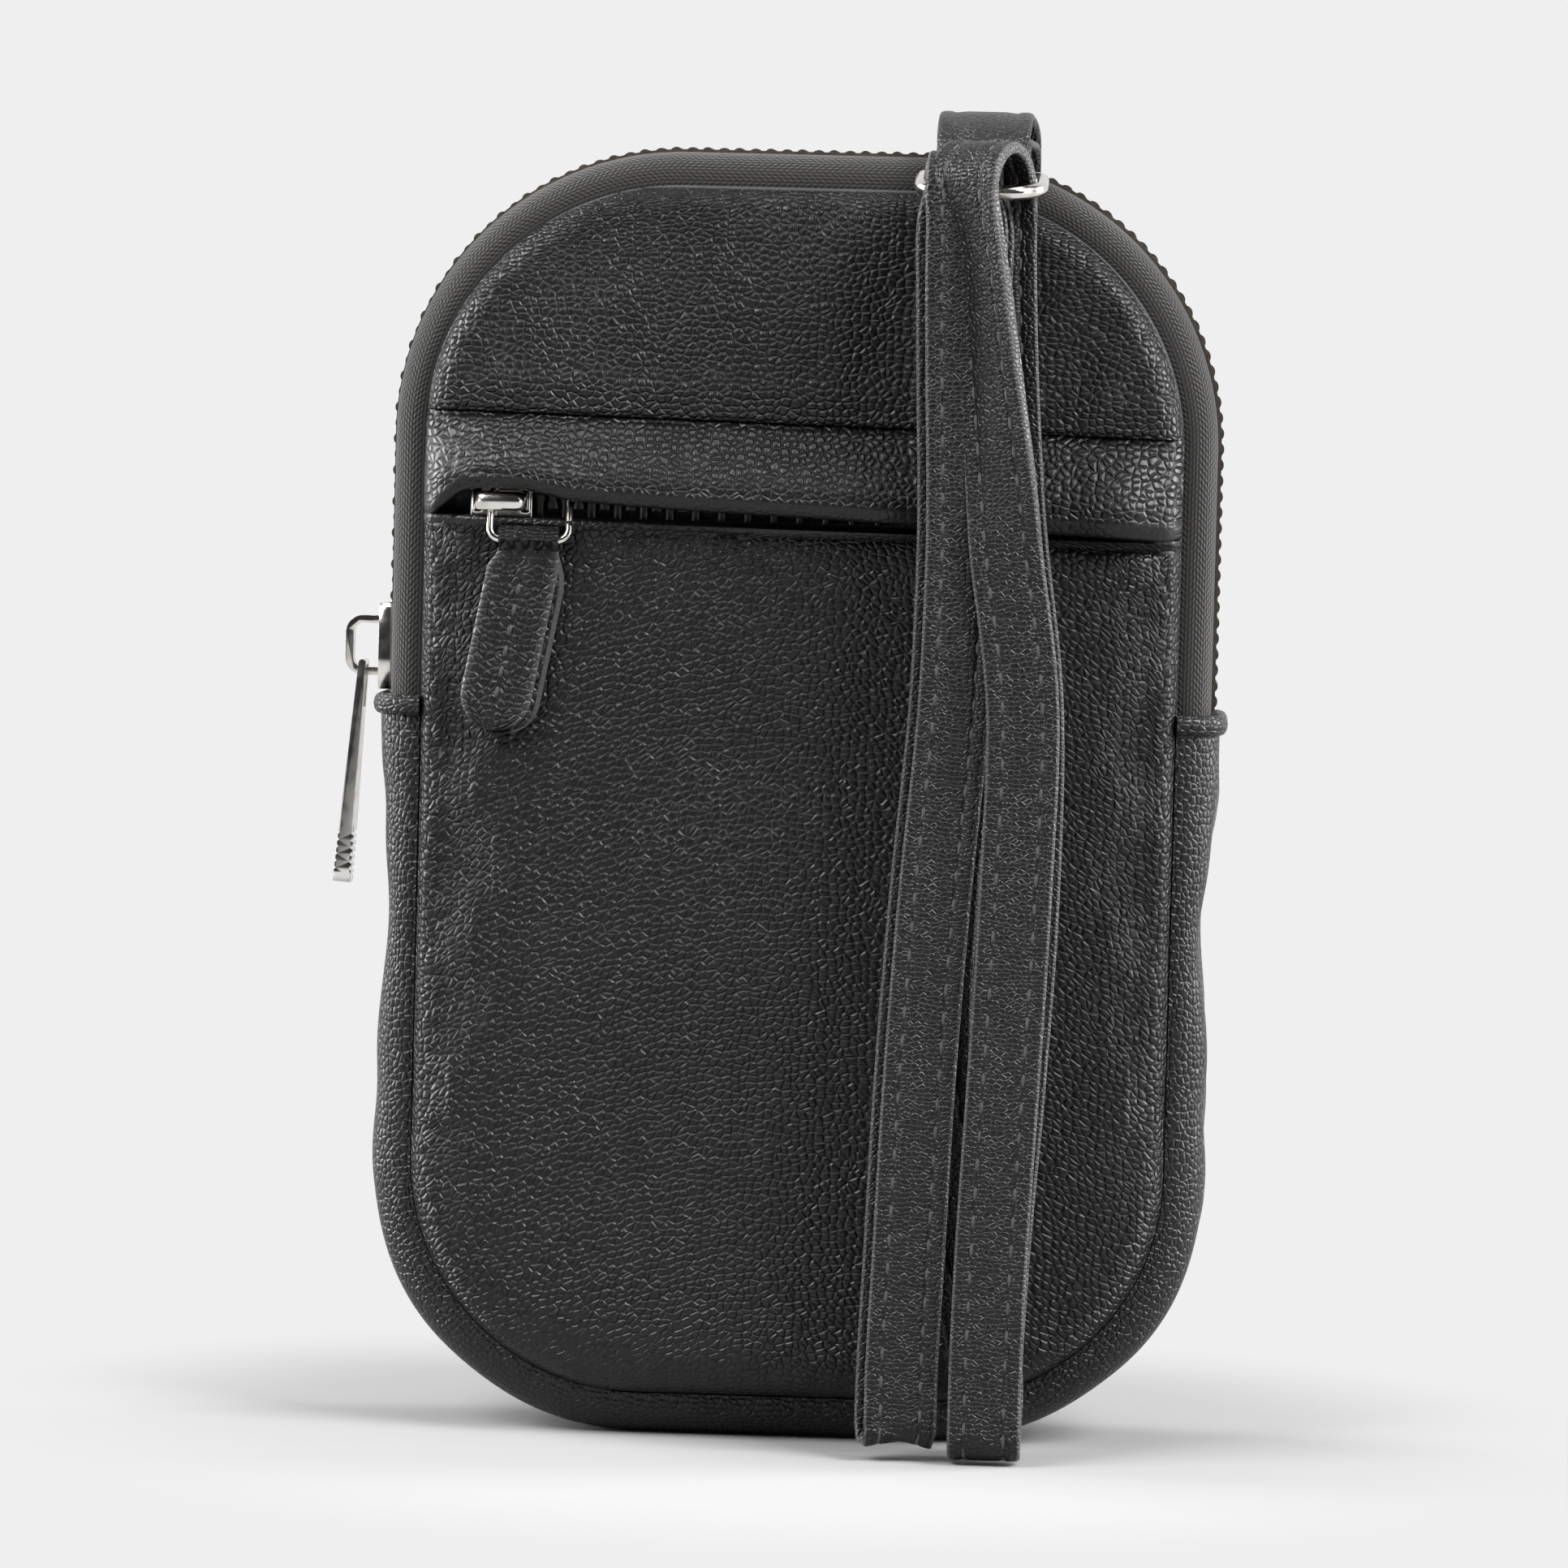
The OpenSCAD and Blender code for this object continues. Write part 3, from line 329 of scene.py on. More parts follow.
def embossed_leather(name, grain, valley, top, depth, wide=1.2):
    """Split leather with a polyurethane coat, embossed with pebbles by a hot roll. The eye sees
    dark rounded satin pebbles, grain millimetres high and wide times that in width, in a net of
    creases whose slopes glint. The creases are painted in the darker valley colour as shade, and
    each pebble's tone differs a little at random. Where a piece is marked bare, the grain has been
    pressed or pulled flat, and the painted crease shade fades there. UV is along and across the
    leather. Cut edges are painted a little lighter."""
    m, t = blank(name)
    at = put(t, "ShaderNodeUVMap").outputs[0]
    place = put(t, "ShaderNodeTexCoord").outputs["Object"]
    scale = 1 / (grain * MM)
    bend = put(t, "ShaderNodeTexNoise", {"Vector": at}, Scale=scale / 3.5, Detail=1.0)
    shift = put(t, "ShaderNodeVectorMath", {0: bend.outputs["Color"]}, operation="SCALE",
                Scale=0.9 * grain * MM)
    moved = put(t, "ShaderNodeVectorMath", {0: at, 1: shift.outputs[0]}, operation="ADD")
    placed = put(t, "ShaderNodeMapping", {"Vector": moved.outputs[0]}, Scale=(1 / wide, 1, 1))
    cell = put(t, "ShaderNodeTexVoronoi", {"Vector": placed.outputs[0]}, Scale=scale,
               Randomness=0.85, voronoi_dimensions="2D")
    edge = put(t, "ShaderNodeTexVoronoi", {"Vector": placed.outputs[0]}, Scale=scale,
               Randomness=0.85, voronoi_dimensions="2D",
               feature="DISTANCE_TO_EDGE").outputs["Distance"]
    own = put(t, "ShaderNodeSeparateXYZ", {"Vector": cell.outputs["Color"]})
    fine = put(t, "ShaderNodeTexNoise", {"Vector": at}, Scale=5 * scale, Detail=4.0).outputs[0]
    broad = put(t, "ShaderNodeTexNoise", {"Vector": place}, Scale=1 / (30 * MM),
                Detail=2.0).outputs[0]
    dist = cell.outputs["Distance"]
    dome = ramp(t, calc(t, "MULTIPLY", dist, dist), 0.0, 0.42, 1.0, 0.0)
    crease = ramp(t, edge, 0.0, 0.12)
    rim_in = ramp(t, edge, 0.0, 0.34, 1.0, 0.0)
    flat = calc(t, "SUBTRACT", 1.0, calc(t, "MULTIPLY", rim_in, rim_in))
    round_top = calc(t, "ADD", calc(t, "MULTIPLY", dome, 0.3), calc(t, "MULTIPLY", flat, 0.7))
    height = calc(t, "MULTIPLY", round_top, ramp(t, own.outputs["X"], 0.0, 1.0, 0.7, 1.1))
    bare = put(t, "ShaderNodeAttribute", attribute_name="bare").outputs["Fac"]
    keep = calc(t, "SUBTRACT", 1.0, calc(t, "MULTIPLY", bare, 0.85))
    deep = calc(t, "MULTIPLY", keep, ramp(t, broad, 0.35, 0.65, 0.7, 1.0))
    height = calc(t, "ADD", calc(t, "MULTIPLY", height, deep), calc(t, "MULTIPLY", fine, 0.07))
    bump = put(t, "ShaderNodeBump", {"Height": height}, Distance=depth * MM, Strength=1.0)
    # Painted shade: the creases take the darker valley colour and the pebbles the top colour,
    # times a random tone for each pebble
    tone = calc(t, "MULTIPLY", crease, ramp(t, own.outputs["Y"], 0.0, 1.0, 0.75, 1.0))
    tone = calc(t, "MAXIMUM", tone, calc(t, "MULTIPLY", bare, 0.8))
    rough = calc(t, "ADD", ramp(t, crease, 0.0, 1.0, GLOSS + 0.2, GLOSS),
                 calc(t, "MULTIPLY", fine, 0.12))
    painted = put(t, "ShaderNodeAttribute", attribute_name="painted").outputs["Fac"]
    surface(t, {"Base Color": mix(t, painted, mix(t, tone, valley, top), EDGE_PAINT),
                "Roughness": rough, "Normal": bump.outputs[0]}, IOR=1.43)
    return m


def woven_tape(name, dark, light, twill):
    """Woven polyester zip tape. The eye sees a matt brown black herringbone with a soft sheen
    at grazing angles: slanted cords, twill millimetres apart, in legs 1.6 mm wide, and warp
    threads 0.5 mm apart. UV is along and across the tape."""
    m, t = blank(name)
    at = put(t, "ShaderNodeUVMap").outputs[0]
    part = put(t, "ShaderNodeSeparateXYZ", {"Vector": at})
    s, a = part.outputs["X"], part.outputs["Y"]
    zig = calc(t, "PINGPONG", a, 1.6 * MM)
    phase = calc(t, "MULTIPLY", calc(t, "ADD", s, zig), 2 * math.pi / (twill * MM))
    cord = calc(t, "MULTIPLY", calc(t, "SINE", phase, 0), 0.5)
    warp = calc(t, "MULTIPLY",
                calc(t, "SINE", calc(t, "MULTIPLY", a, 2 * math.pi / (0.5 * MM)), 0), 0.35)
    fuzz = put(t, "ShaderNodeTexNoise", {"Vector": at}, Scale=2.6 / MM, Detail=3.0).outputs[0]
    height = calc(t, "ADD", calc(t, "ADD", cord, warp), fuzz)
    tone = ramp(t, height, -0.3, 1.3)
    bump = put(t, "ShaderNodeBump", {"Height": height}, Distance=0.12 * MM, Strength=0.9)
    surface(t, {"Base Color": mix(t, tone, dark, light), "Normal": bump.outputs[0]},
            Roughness=0.85, IOR=1.45, Sheen_Weight=0.2, Sheen_Roughness=0.5)
    return m


def plain_cloth(name, dark, light, pitch):
    """Thin plain-woven polyester cloth for linings and bindings: a square weave, drawn as
    coarse as it needs to show."""
    m, t = blank(name)
    at = put(t, "ShaderNodeTexCoord").outputs["Object"]
    part = put(t, "ShaderNodeSeparateXYZ", {"Vector": at})
    waves = [calc(t, "SINE", calc(t, "MULTIPLY", part.outputs[k], 2 * math.pi / (pitch * MM)), 0)
             for k in ("X", "Z")]
    weave = calc(t, "MULTIPLY", waves[0], waves[1])
    fuzz = put(t, "ShaderNodeTexNoise", {"Vector": at}, Scale=0.9 / MM, Detail=2.0).outputs[0]
    height = calc(t, "ADD", weave, fuzz)
    bump = put(t, "ShaderNodeBump", {"Height": height}, Distance=0.06 * MM, Strength=0.8)
    surface(t, {"Base Color": mix(t, ramp(t, height, -0.6, 1.4), dark, light),
                "Normal": bump.outputs[0]}, Roughness=0.8, IOR=1.45, Sheen_Weight=0.2)
    return m


def open_foam(name, dark, light, cell):
    """Open-cell polyurethane foam: small round pits, cell millimetres apart, in a matt
    surface."""
    m, t = blank(name)
    at = put(t, "ShaderNodeTexCoord").outputs["Object"]
    pit = put(t, "ShaderNodeTexVoronoi", {"Vector": at}, Scale=1 / (cell * MM)).outputs["Distance"]
    bump = put(t, "ShaderNodeBump", {"Height": pit}, Distance=0.3 * MM, Strength=0.7)
    surface(t, {"Base Color": mix(t, ramp(t, pit, 0.1, 0.6), light, dark),
                "Normal": bump.outputs[0]}, Roughness=0.95, IOR=1.45)
    return m


def drawn_nylon(name, dark, light):
    """Drawn nylon monofilament, dyed in the mass: smooth and satin, with slight blotches about 0.7
    mm wide. A copy in darker colours paints the shade on a coil that lies in shadow."""
    m, t = blank(name)
    at = put(t, "ShaderNodeTexCoord").outputs["Object"]
    blotch = put(t, "ShaderNodeTexNoise", {"Vector": at}, Scale=1.5 / MM, Detail=2.0).outputs[0]
    bump = put(t, "ShaderNodeBump", {"Height": blotch}, Distance=0.03 * MM, Strength=0.6)
    surface(t, {"Base Color": mix(t, blotch, dark, light), "Normal": bump.outputs[0],
                "Roughness": ramp(t, blotch, 0.3, 0.7, 0.3, 0.45)}, IOR=1.53)
    return m


def spun_thread(name, dark, light):
    """Twisted polyester sewing thread: a fine slanted twist with a dull gleam, and its ridges
    painted in the lighter colour as glints.
    """
    m, t = blank(name)
    at = put(t, "ShaderNodeTexCoord").outputs["Object"]
    part = put(t, "ShaderNodeSeparateXYZ", {"Vector": at})
    slant = calc(t, "ADD", part.outputs["X"], part.outputs["Z"])
    twist = calc(t, "SINE", calc(t, "MULTIPLY", slant, 2 * math.pi / (0.3 * MM)), 0)
    bump = put(t, "ShaderNodeBump", {"Height": twist}, Distance=0.05 * MM, Strength=0.8)
    # Painted highlight: the twist's ridges take the light colour as glints, its grooves the dark
    # one
    surface(t, {"Base Color": mix(t, ramp(t, twist, -1.0, 1.0), dark, light),
                "Normal": bump.outputs[0]}, Roughness=0.55, IOR=1.5, Sheen_Weight=0.2)
    return m


def plated_nickel(name, light, dull):
    """Zinc casting with bright nickel plating: a warm grey mirror, with the faint haze of its
    polish in spots of about 2 mm and waves 7 mm long."""
    m, t = blank(name)
    at = put(t, "ShaderNodeTexCoord").outputs["Object"]
    haze = put(t, "ShaderNodeTexNoise", {"Vector": at}, Scale=0.45 / MM, Detail=4.0).outputs[0]
    wave = put(t, "ShaderNodeTexNoise", {"Vector": at}, Scale=0.14 / MM, Detail=1.0).outputs[0]
    bump = put(t, "ShaderNodeBump", {"Height": wave}, Distance=0.08 * MM, Strength=0.35)
    surface(t, {"Base Color": mix(t, ramp(t, haze, 0.4, 0.8), light, dull),
                "Normal": bump.outputs[0],
                "Roughness": ramp(t, haze, 0.3, 0.7, 0.1, 0.24)}, Metallic=1.0)
    return m


# The first colour of each leather is painted shade in its creases, the second is its pebbles' own
# colour
panel_leather = embossed_leather("embossed_panel_leather", 0.98, "#050505", "#0c0c0c", 0.4)
side_leather = embossed_leather("embossed_gusset_leather", 0.85, "#0b0a0a", "#110f0f", 0.2)
strap_leather = embossed_leather("embossed_strap_leather", 0.9, "#050505", "#0a0a0a", 0.2, 0.7)
tape_weave = woven_tape("woven_polyester_tape", "#0a0908", "#191613", 0.9)
lining_weave = plain_cloth("plain_lining_cloth", "#161618", "#2c2c2f", 0.6)
foam_cells = open_foam("open_cell_foam", "#3a3a3a", "#565656", 0.8)
coil_nylon = drawn_nylon("drawn_nylon_coil", "#2a2521", "#453e36")
# Painted shade: a darker copy of the coil's nylon for the pocket's coil under the flap
shaded_coil_nylon = drawn_nylon("drawn_nylon_coil_painted_shade", "#080808", "#121110")
# The thread is black; its lighter colour is a painted glint on the twist
black_thread = spun_thread("twisted_polyester_thread", "#0f0f0f", "#4a4a4a")
bright_nickel = plated_nickel("bright_plated_nickel", "#dedbd6", "#c3bfb8")


# Soft panels

def panel_points(z0, z1, inset, sink, cols, rows, side=-1, drop=0):
    """Places on a sheet that lies inset and sunk below the front's leather surface."""
    z = (seam_low(inset) if z0 is None else z0) + rows * (
        (seam_high(inset) if z1 is None else z1) - (seam_low(inset) if z0 is None else z0))
    z = np.repeat(z[:, None], len(cols), 1)
    x = cols[None, :] * reach(z, inset)
    y = side * (skin(x, z, inset, sink) - drop)
    return np.stack([x, y, z], -1)


def fine(n, power=1.6):
    """Shares from 0 to 1 that crowd toward both ends."""
    t = np.linspace(-1, 1, n)
    return (np.sign(t) * (1 - (1 - np.abs(t)) ** power) + 1) / 2


# Broad swells and hollows of the slack leather: rise, place in x and z, and reach in x and z
HOLLOWS = ((0.7, -12, 72, 24, 13), (-0.9, -4, 98, 34, 11), (-0.6, 30, 60, 12, 26),
           (0.5, -34, 26, 13, 14), (-0.5, -2, 46, 30, 10), (0.5, -24, 158, 20, 7))


def pucker(x, z):
    """The leather's pull toward each stitch of the seam, and its soft hollows. In millimetres."""
    d = np.maximum(depth_in(x, z, 0), 0)
    way = np.where(np.abs(x) > 30, z, x) + 0.6 * np.sin(z / 7.0) + 0.5 * np.sin(x / 5.0)
    ripple = 0.16 * np.exp(-((d - 2.4) / 1.7) ** 2) * np.sin(way * 2 * np.pi / PANEL_STITCH)
    slack = ease(d, 4, 16)
    wave = sum(rise * np.exp(-(((x - at_x) / wide) ** 2 + ((z - at_z) / high) ** 2))
               for rise, at_x, at_z, wide, high in HOLLOWS)
    return ripple + slack * wave - 0.12


def swell_of(side):
    """How the leather over a foam pad swells and sags: a cloth held at its seams is blown up a
    little with slack in it. Gives a function of x and z, in millimetres."""
    p = panel_points(None, None, 0, 0, np.linspace(-1, 1, 41), np.linspace(0, 1, 65), side)
    o = net("slack_leather", p)
    face_out(o)
    held = o.vertex_groups.new(name="held")
    start = np.array([q.co for q in o.data.vertices]) / MM
    seam = depth_in(start[:, 0], start[:, 2], 0) < 0.8
    if side < 0:
        seam |= np.abs(start[:, 2] - FLAP_TOP) < 1.5
    held.add([int(i) for i in np.flatnonzero(seam)], 1.0, "REPLACE")
    cloth = o.modifiers.new("cloth", "CLOTH")
    cloth.settings.quality = 8
    cloth.settings.mass = 0.3
    cloth.settings.tension_stiffness = cloth.settings.compression_stiffness = 30
    cloth.settings.bending_stiffness = 4
    cloth.settings.vertex_group_mass = "held"
    cloth.settings.shrink_min = -0.012
    cloth.settings.use_pressure = True
    cloth.settings.uniform_pressure_force = 4
    cloth.settings.effector_weights.gravity = 0
    cloth.point_cache.frame_start, cloth.point_cache.frame_end = 1, 20
    for frame_number in range(1, 21):
        bpy.context.scene.frame_set(frame_number)
    only(o)
    bpy.ops.object.modifier_apply(modifier="cloth")
    end = np.array([q.co for q in o.data.vertices]) / MM
    bpy.data.objects.remove(o)
    bpy.context.scene.frame_set(1)
    moved = np.clip((end - start)[:, 1] * side, -0.9, 0.9)
    tree = KDTree(len(start))
    for i, q in enumerate(start):
        tree.insert((q[0], 0, q[2]), i)
    tree.balance()

    def at(x, z):
        """The swell, from the four nearest places of the cloth."""
        found = [tree.find_n((a, 0, b), 4) for a, b in zip(np.ravel(x), np.ravel(z))]
        share = [[1 / (q[2] + 0.3) for q in four] for four in found]
        value = [sum(w * moved[q[1]] for w, q in zip(ws, four)) / sum(ws)
                 for ws, four in zip(share, found)]
        return np.reshape(value, np.shape(x))
    return at


SWELL = {side: swell_of(side) for side in (-1, 1)}

# The upper seam and the pocket's edge run down a little to the right. The pocket's edge
# stands off over the slider's lower half
SEAM_SLOPE, POCKET_SLOPE = -0.0175, -0.013
POCKET_EDGE = POCKET_TOP + 1.2


def stand_off(z):
    """How far the pocket's edge stands out from the panel's own surface."""
    return 1.45 * ease(z, POCKET_TOP - 0.9, POCKET_TOP + 0.6)


def leather_panel(name, z0, z1, side, free=None, slope=0.0):
    """A panel between two heights. Its free edge is turned in over a bead."""
    tall = (z1 or seam_high(0)) - (z0 or seam_low(0))
    cols, rows = fine(121) * 2 - 1, fine(int(tall / 1.1) + 2, 1.25)
    p = panel_points(z0, z1, 0, 0, cols, rows, side)
    x, z = p[..., 0], p[..., 2].copy()
    push = pucker(x, z) + SWELL[side](x, z)
    bare = 0 * z if free == FLAP_TOP + PLY else 0.8 * (1 - ease(z, 8, 22))
    # It leans back toward the top, and its rim is drawn down into the seam
    deep = np.maximum(depth_in(x, z, 0), 0)
    push -= 1.1 * ease(z, 140, 174) + 0.7 * np.exp(-(deep / 0.7) ** 2)
    bare = np.maximum(bare, 0.6 * (1 - ease(deep, 0.2, 1.2)))
    if free is not None:
        # The free edge: its slope, its rounded fold, the bead over the turned-in leather and,
        # on the pocket, the groove of its stitches
        d = np.abs(z - free)
        p[..., 2] += slope * x * (1 - ease(d, 0, 30))
        push -= 0.5 * (1 - np.sqrt(1 - (1 - np.minimum(d / 0.6, 1)) ** 2))
        push += 0.35 * np.exp(-((d - 4.2) / 1.8) ** 2)
        if free == POCKET_EDGE:
            push += stand_off(p[..., 2]) - 0.45 * np.exp(-((d - 1.6) / 0.4) ** 2)
            bare = np.maximum(bare, 1 - ease(d, 1.2, 1.9))
    p[..., 1] += side * push
    o = net(name, p, *lengths(p))
    mark(o, p, bare)
    return thicken(o, LEATHER_T)


upper_front = leather_panel("upper_front_leather", FLAP_TOP + PLY, None, -1, FLAP_TOP + PLY,
                            SEAM_SLOPE)
dress(upper_front, "bag", LEATHER, panel_leather, "front_upper_panel")
pocket_front = leather_panel("pocket_front_leather", None, POCKET_EDGE, -1, POCKET_EDGE,
                             POCKET_SLOPE)
dress(pocket_front, "bag", LEATHER, panel_leather, "pocket_panel")
back = leather_panel("back_leather", None, None, 1)
dress(back, "bag", LEATHER, panel_leather, "back_panel")


def inner_sheet(name, z1, inset, sink, t, side, drop, slot, material, node):
    """A layer behind the leather."""
    cols, rows = fine(41) * 2 - 1, fine(61, 1.3)
    p = panel_points(None, z1, inset, sink, cols, rows, side, drop)
    p[..., 1] += side * SWELL[side](p[..., 0], p[..., 2]) * (slot == FOAM)
    o = net(name, p)
    dress(thicken(o, t), "bag", slot, material, node)
    return o


FOAM_IN = LEATHER_T + LINING_T + 3 * PLY
for side, label, sink in ((-1, "front", 4.5), (1, "back", 1.4)):
    pad = inner_sheet(f"{label}_foam_pad", None, FOAM_IN, sink, FOAM_T, side, 0, FOAM, foam_cells,
                      f"foam_{label}")
inner_sheet("pocket_lining_cloth", FLAP_TOP + 4, LEATHER_T + PLY, 3.9, LINING_T - PLY, -1, 0,
            CLOTH, lining_weave, "pocket_lining")
inner_sheet("front_lining_cloth", None, BIND_W + PLY, 4.2, LINING_T, -1, 1.6, CLOTH,
            lining_weave, "lining_front")
inner_sheet("back_lining_cloth", None, BIND_W + PLY, 2.7, LINING_T, 1, 0, CLOTH,
            lining_weave, "lining_back")


# The band round the side

def side_path(left, right, top):
    """Places round the outline from the left end to the right one, over the top or under the
    bottom, with the outward directions and the lengths. Steps are about 1.2 mm."""
    r = TOP_R if top else BOTTOM_R
    cx, cz, up = BAG_W / 2 - r, (BAG_H - r if top else r), (1 if top else -1)
    turn = np.linspace(0, np.pi / 2, 55)
    n_l, n_r = (max(int(abs(cz - e) / 1.2), 2) for e in (left, right))
    parts = [[(-BAG_W / 2, z, -1, 0) for z in np.linspace(left, cz, n_l)[:-1]],
             [(-cx - r * math.cos(a), cz + up * r * math.sin(a), -math.cos(a),
               up * math.sin(a)) for a in turn],
             [(x, cz + up * r, 0, up) for x in np.linspace(-cx, cx, 34)[1:-1]],
             [(cx + r * math.sin(a), cz + up * r * math.cos(a), math.sin(a),
               up * math.cos(a)) for a in turn],
             [(BAG_W / 2, z, 1, 0) for z in np.linspace(cz, right, n_r)[1:]]]
    p = np.array([q for part in parts for q in part], float)
    return p[:, :2], p[:, 2:], along(p[:, :2])


def half_section(depth, start, steps=10):
    """From the middle of the band across its flat and down the quarter round to the seam:
    how far out and how far across."""
    r = SEAM_IN - depth
    flat = [(-depth, y) for y in np.linspace(start, FLAT_HALF, 5)[:-1]]
    turn = [(r * math.cos(a) - SEAM_IN, FLAT_HALF + r * math.sin(a))
            for a in np.linspace(0, np.pi / 2, steps)]
    return np.array(flat + turn)


def band(name, path, section, t, sink=None):
    """Sweeps a section of the side along a path round the outline."""
    place, out, length = path
    off, across = section[:, 0], section[:, 1]
    o = np.repeat(off[None, :], len(place), 0)
    if sink is not None:
        o = o - sink(place[:, 0][:, None], place[:, 1][:, None], across[None, :])
    x = place[:, 0][:, None] + out[:, 0][:, None] * o
    z = place[:, 1][:, None] + out[:, 1][:, None] * o
    y = np.repeat(across[None, :], len(place), 0)
    piece = net(name, np.stack([x, y, z], -1), length[:, None], along(section)[None, :])
    return thicken(piece, t)


def waist(x, z, y):
    """The unstiffened side draws in at its waist, and most in the middle of its width. A few
    soft creases cross it there."""
    left = 1.9 * np.exp(-((z - 73) / 11) ** 2) + 0.9 * ease(-z, -100, -88) * ease(z, 20, 60)
    right = 2.3 * np.exp(-((z - 72) / 9) ** 2) + 0.9 * ease(-z, -92, -80) * ease(z, 18, 50)
    level = np.where(x < 0, left, right) * ease(np.abs(x), 40, 54)
    crease = 0.25 * np.sin(z / 3.1 + 0.8 * np.sin(z / 7) + y / 6) * ease(-z, -98, -90)
    return (level + crease * ease(np.abs(x), 20, 50)) * (1 - (np.abs(y) / 13) ** 2)


def whole(section):
    """Both halves of a section of the side."""
    return np.concatenate([section[::-1] * (1, -1), section[1:]])


gusset = band("bottom_gusset_leather", side_path(GUSSET_TOP - 1.2, GUSSET_TOP - 1.2, False),
              whole(half_section(0, 0)), LEATHER_T, waist)
dress(gusset, "bag", LEATHER, side_leather, "bottom_gusset")
gusset_lining = band("gusset_lining_cloth", side_path(GUSSET_TOP - 3, GUSSET_TOP - 3, False),
                     whole(half_section(LEATHER_T + CLEAR, 0)), LINING_T, waist)
dress(gusset_lining, "bag", CLOTH, lining_weave, "lining_gusset")
for side, label in ((-1, "front"), (1, "back")):
    tape = band(f"{label}_zip_tape_weave", side_path(GUSSET_TOP - TAPE_TUCK,
                GUSSET_TOP - TAPE_TUCK, True),
                half_section(ZIP_DEPTH, TAPE_GAP, 14) * (1, side), TAPE_T)
    dress(tape, "bag", TAPE, tape_weave, f"zip_tape_{label}")


def tube(name, centres, across, out, half_w, half_h, sides=12, closed=False):
    """A rounded cord of oval section along centres. across and out are its section's axes."""
    a = np.linspace(0, 2 * np.pi, sides + 1)
    c, s = np.cos(a), np.sin(a)
    w = np.broadcast_to(half_w, len(centres))[:, None, None]
    h = np.broadcast_to(half_h, len(centres))[:, None, None]
    p = (centres[:, None, :] + across[:, None, :] * c[None, :, None] * w
         + out[:, None, :] * s[None, :, None] * h)
    o = net(name, p, along(centres)[:, None], (a * np.max(half_w))[None, :])
    close(o)
    if not closed:
        cap(o)
    smooth(o, 60)
    return o


for s, label in ((-1, "left"), (1, "right")):
    sec = whole(half_section(-0.15, 0, 12))
    mid = GUSSET_TOP - ROLL_H / 2
    centres = np.stack([s * (BAG_W / 2 + sec[:, 0]), sec[:, 1], np.full(len(sec), mid)], -1)
    run = unit(np.gradient(centres, axis=0))
    up = np.tile([0.0, 0.0, 1.0], (len(sec), 1))
    roll = tube(f"gusset_roll_{label}", centres, up, np.cross(run, up), ROLL_H / 2,
                ROLL_T / 2)
    dress(roll, "bag", LEATHER, side_leather, f"gusset_end_{label}")


def seam_line(inset):
    """The closed seam outline in steps of about 1.2 mm, with its outward directions."""
    h, lo, hi = seam_half(inset), seam_low(inset), seam_high(inset)
    rt, rb = TOP_R - SEAM_IN - inset, BOTTOM_R - SEAM_IN - inset
    corners = [(h - rt, hi - rt, rt, 0), (rt - h, hi - rt, rt, 90),
               (rb - h, lo + rb, rb, 180), (h - rb, lo + rb, rb, 270)]
    p = []
    for cx, cz, r, start in corners:
        for a in np.radians(np.linspace(start, start + 90, 30)):
            p.append((cx + r * math.cos(a), cz + r * math.sin(a), math.cos(a), math.sin(a)))
    p = np.array(p)
    p = np.vstack([p, p[:1]])
    at = along(p[:, :2])
    q = read_at(np.linspace(0, at[-1], int(at[-1] / 1.2) + 1), at, p)
    return q[:, :2], unit(q[:, 2:])


for side, label in ((-1, "front"), (1, "back")):
    place, out = seam_line(BIND_W / 2)
    centres = np.stack([place[:, 0], np.full(len(place), side * (SIDE_D - BIND_D) / 2),
                        place[:, 1]], -1)
    outward = np.stack([out[:, 0], 0 * out[:, 0], out[:, 1]], -1)
    deep = np.tile([0.0, 1.0, 0.0], (len(place), 1))
    bead = tube(f"{label}_seam_binding", centres, outward, deep, BIND_W / 2 - 0.05,
                BIND_D / 2 - 0.02, 16, True)
    dress(bead, "bag", CLOTH, lining_weave, f"seam_binding_{label}")


# Flap band over the pocket zip: down its front, round its fold and up its back

LOW_X = np.array([-52.6, -51, -49, -46.8, -44, -38, -35, -31.8, -24, -15, 1.6, 12.8, 25, 37,
                  49.6, 53])
LOW_Z_AT = np.array([127.2, 127.6, 129.2, 131, 131.6, 131.4, 130.8, 130.1, 129.5, 129.1, 128.5,
                     128, 127.5, 127, 126.5, 126.4])


def flap_low(x):
    """Height of the flap's folded edge: highest over the slider, and down to the right."""
    return np.interp(x, LOW_X, LOW_Z_AT)


def flap_points(c, u, v):
    inset = v * LEATHER_T
    x0 = c * seam_half(inset)
    top = FLAP_TOP + SEAM_SLOPE * x0
    z = top - u * (top - flap_low(x0))
    x = c * reach(z, inset)
    front, back_y = -u * (FLAP_CLEAR + FLAP_T), LEATHER_T - u * (LEATHER_T + FLAP_CLEAR)
    # It stands off over the slider and its way, less so behind the strap
    way = (2 - 1.1 * hump(x, 27.5, 9, 8)) * ease(x, -37, -27) * ease(51 - x, 0, 6)
    lift = np.maximum(2.6 * hump(x, LINK_X, 8, 9), way)
    sink = front + v * (back_y - front) - lift * np.sin(u * np.pi / 2)
    return x, skin(x, z, inset, sink), z


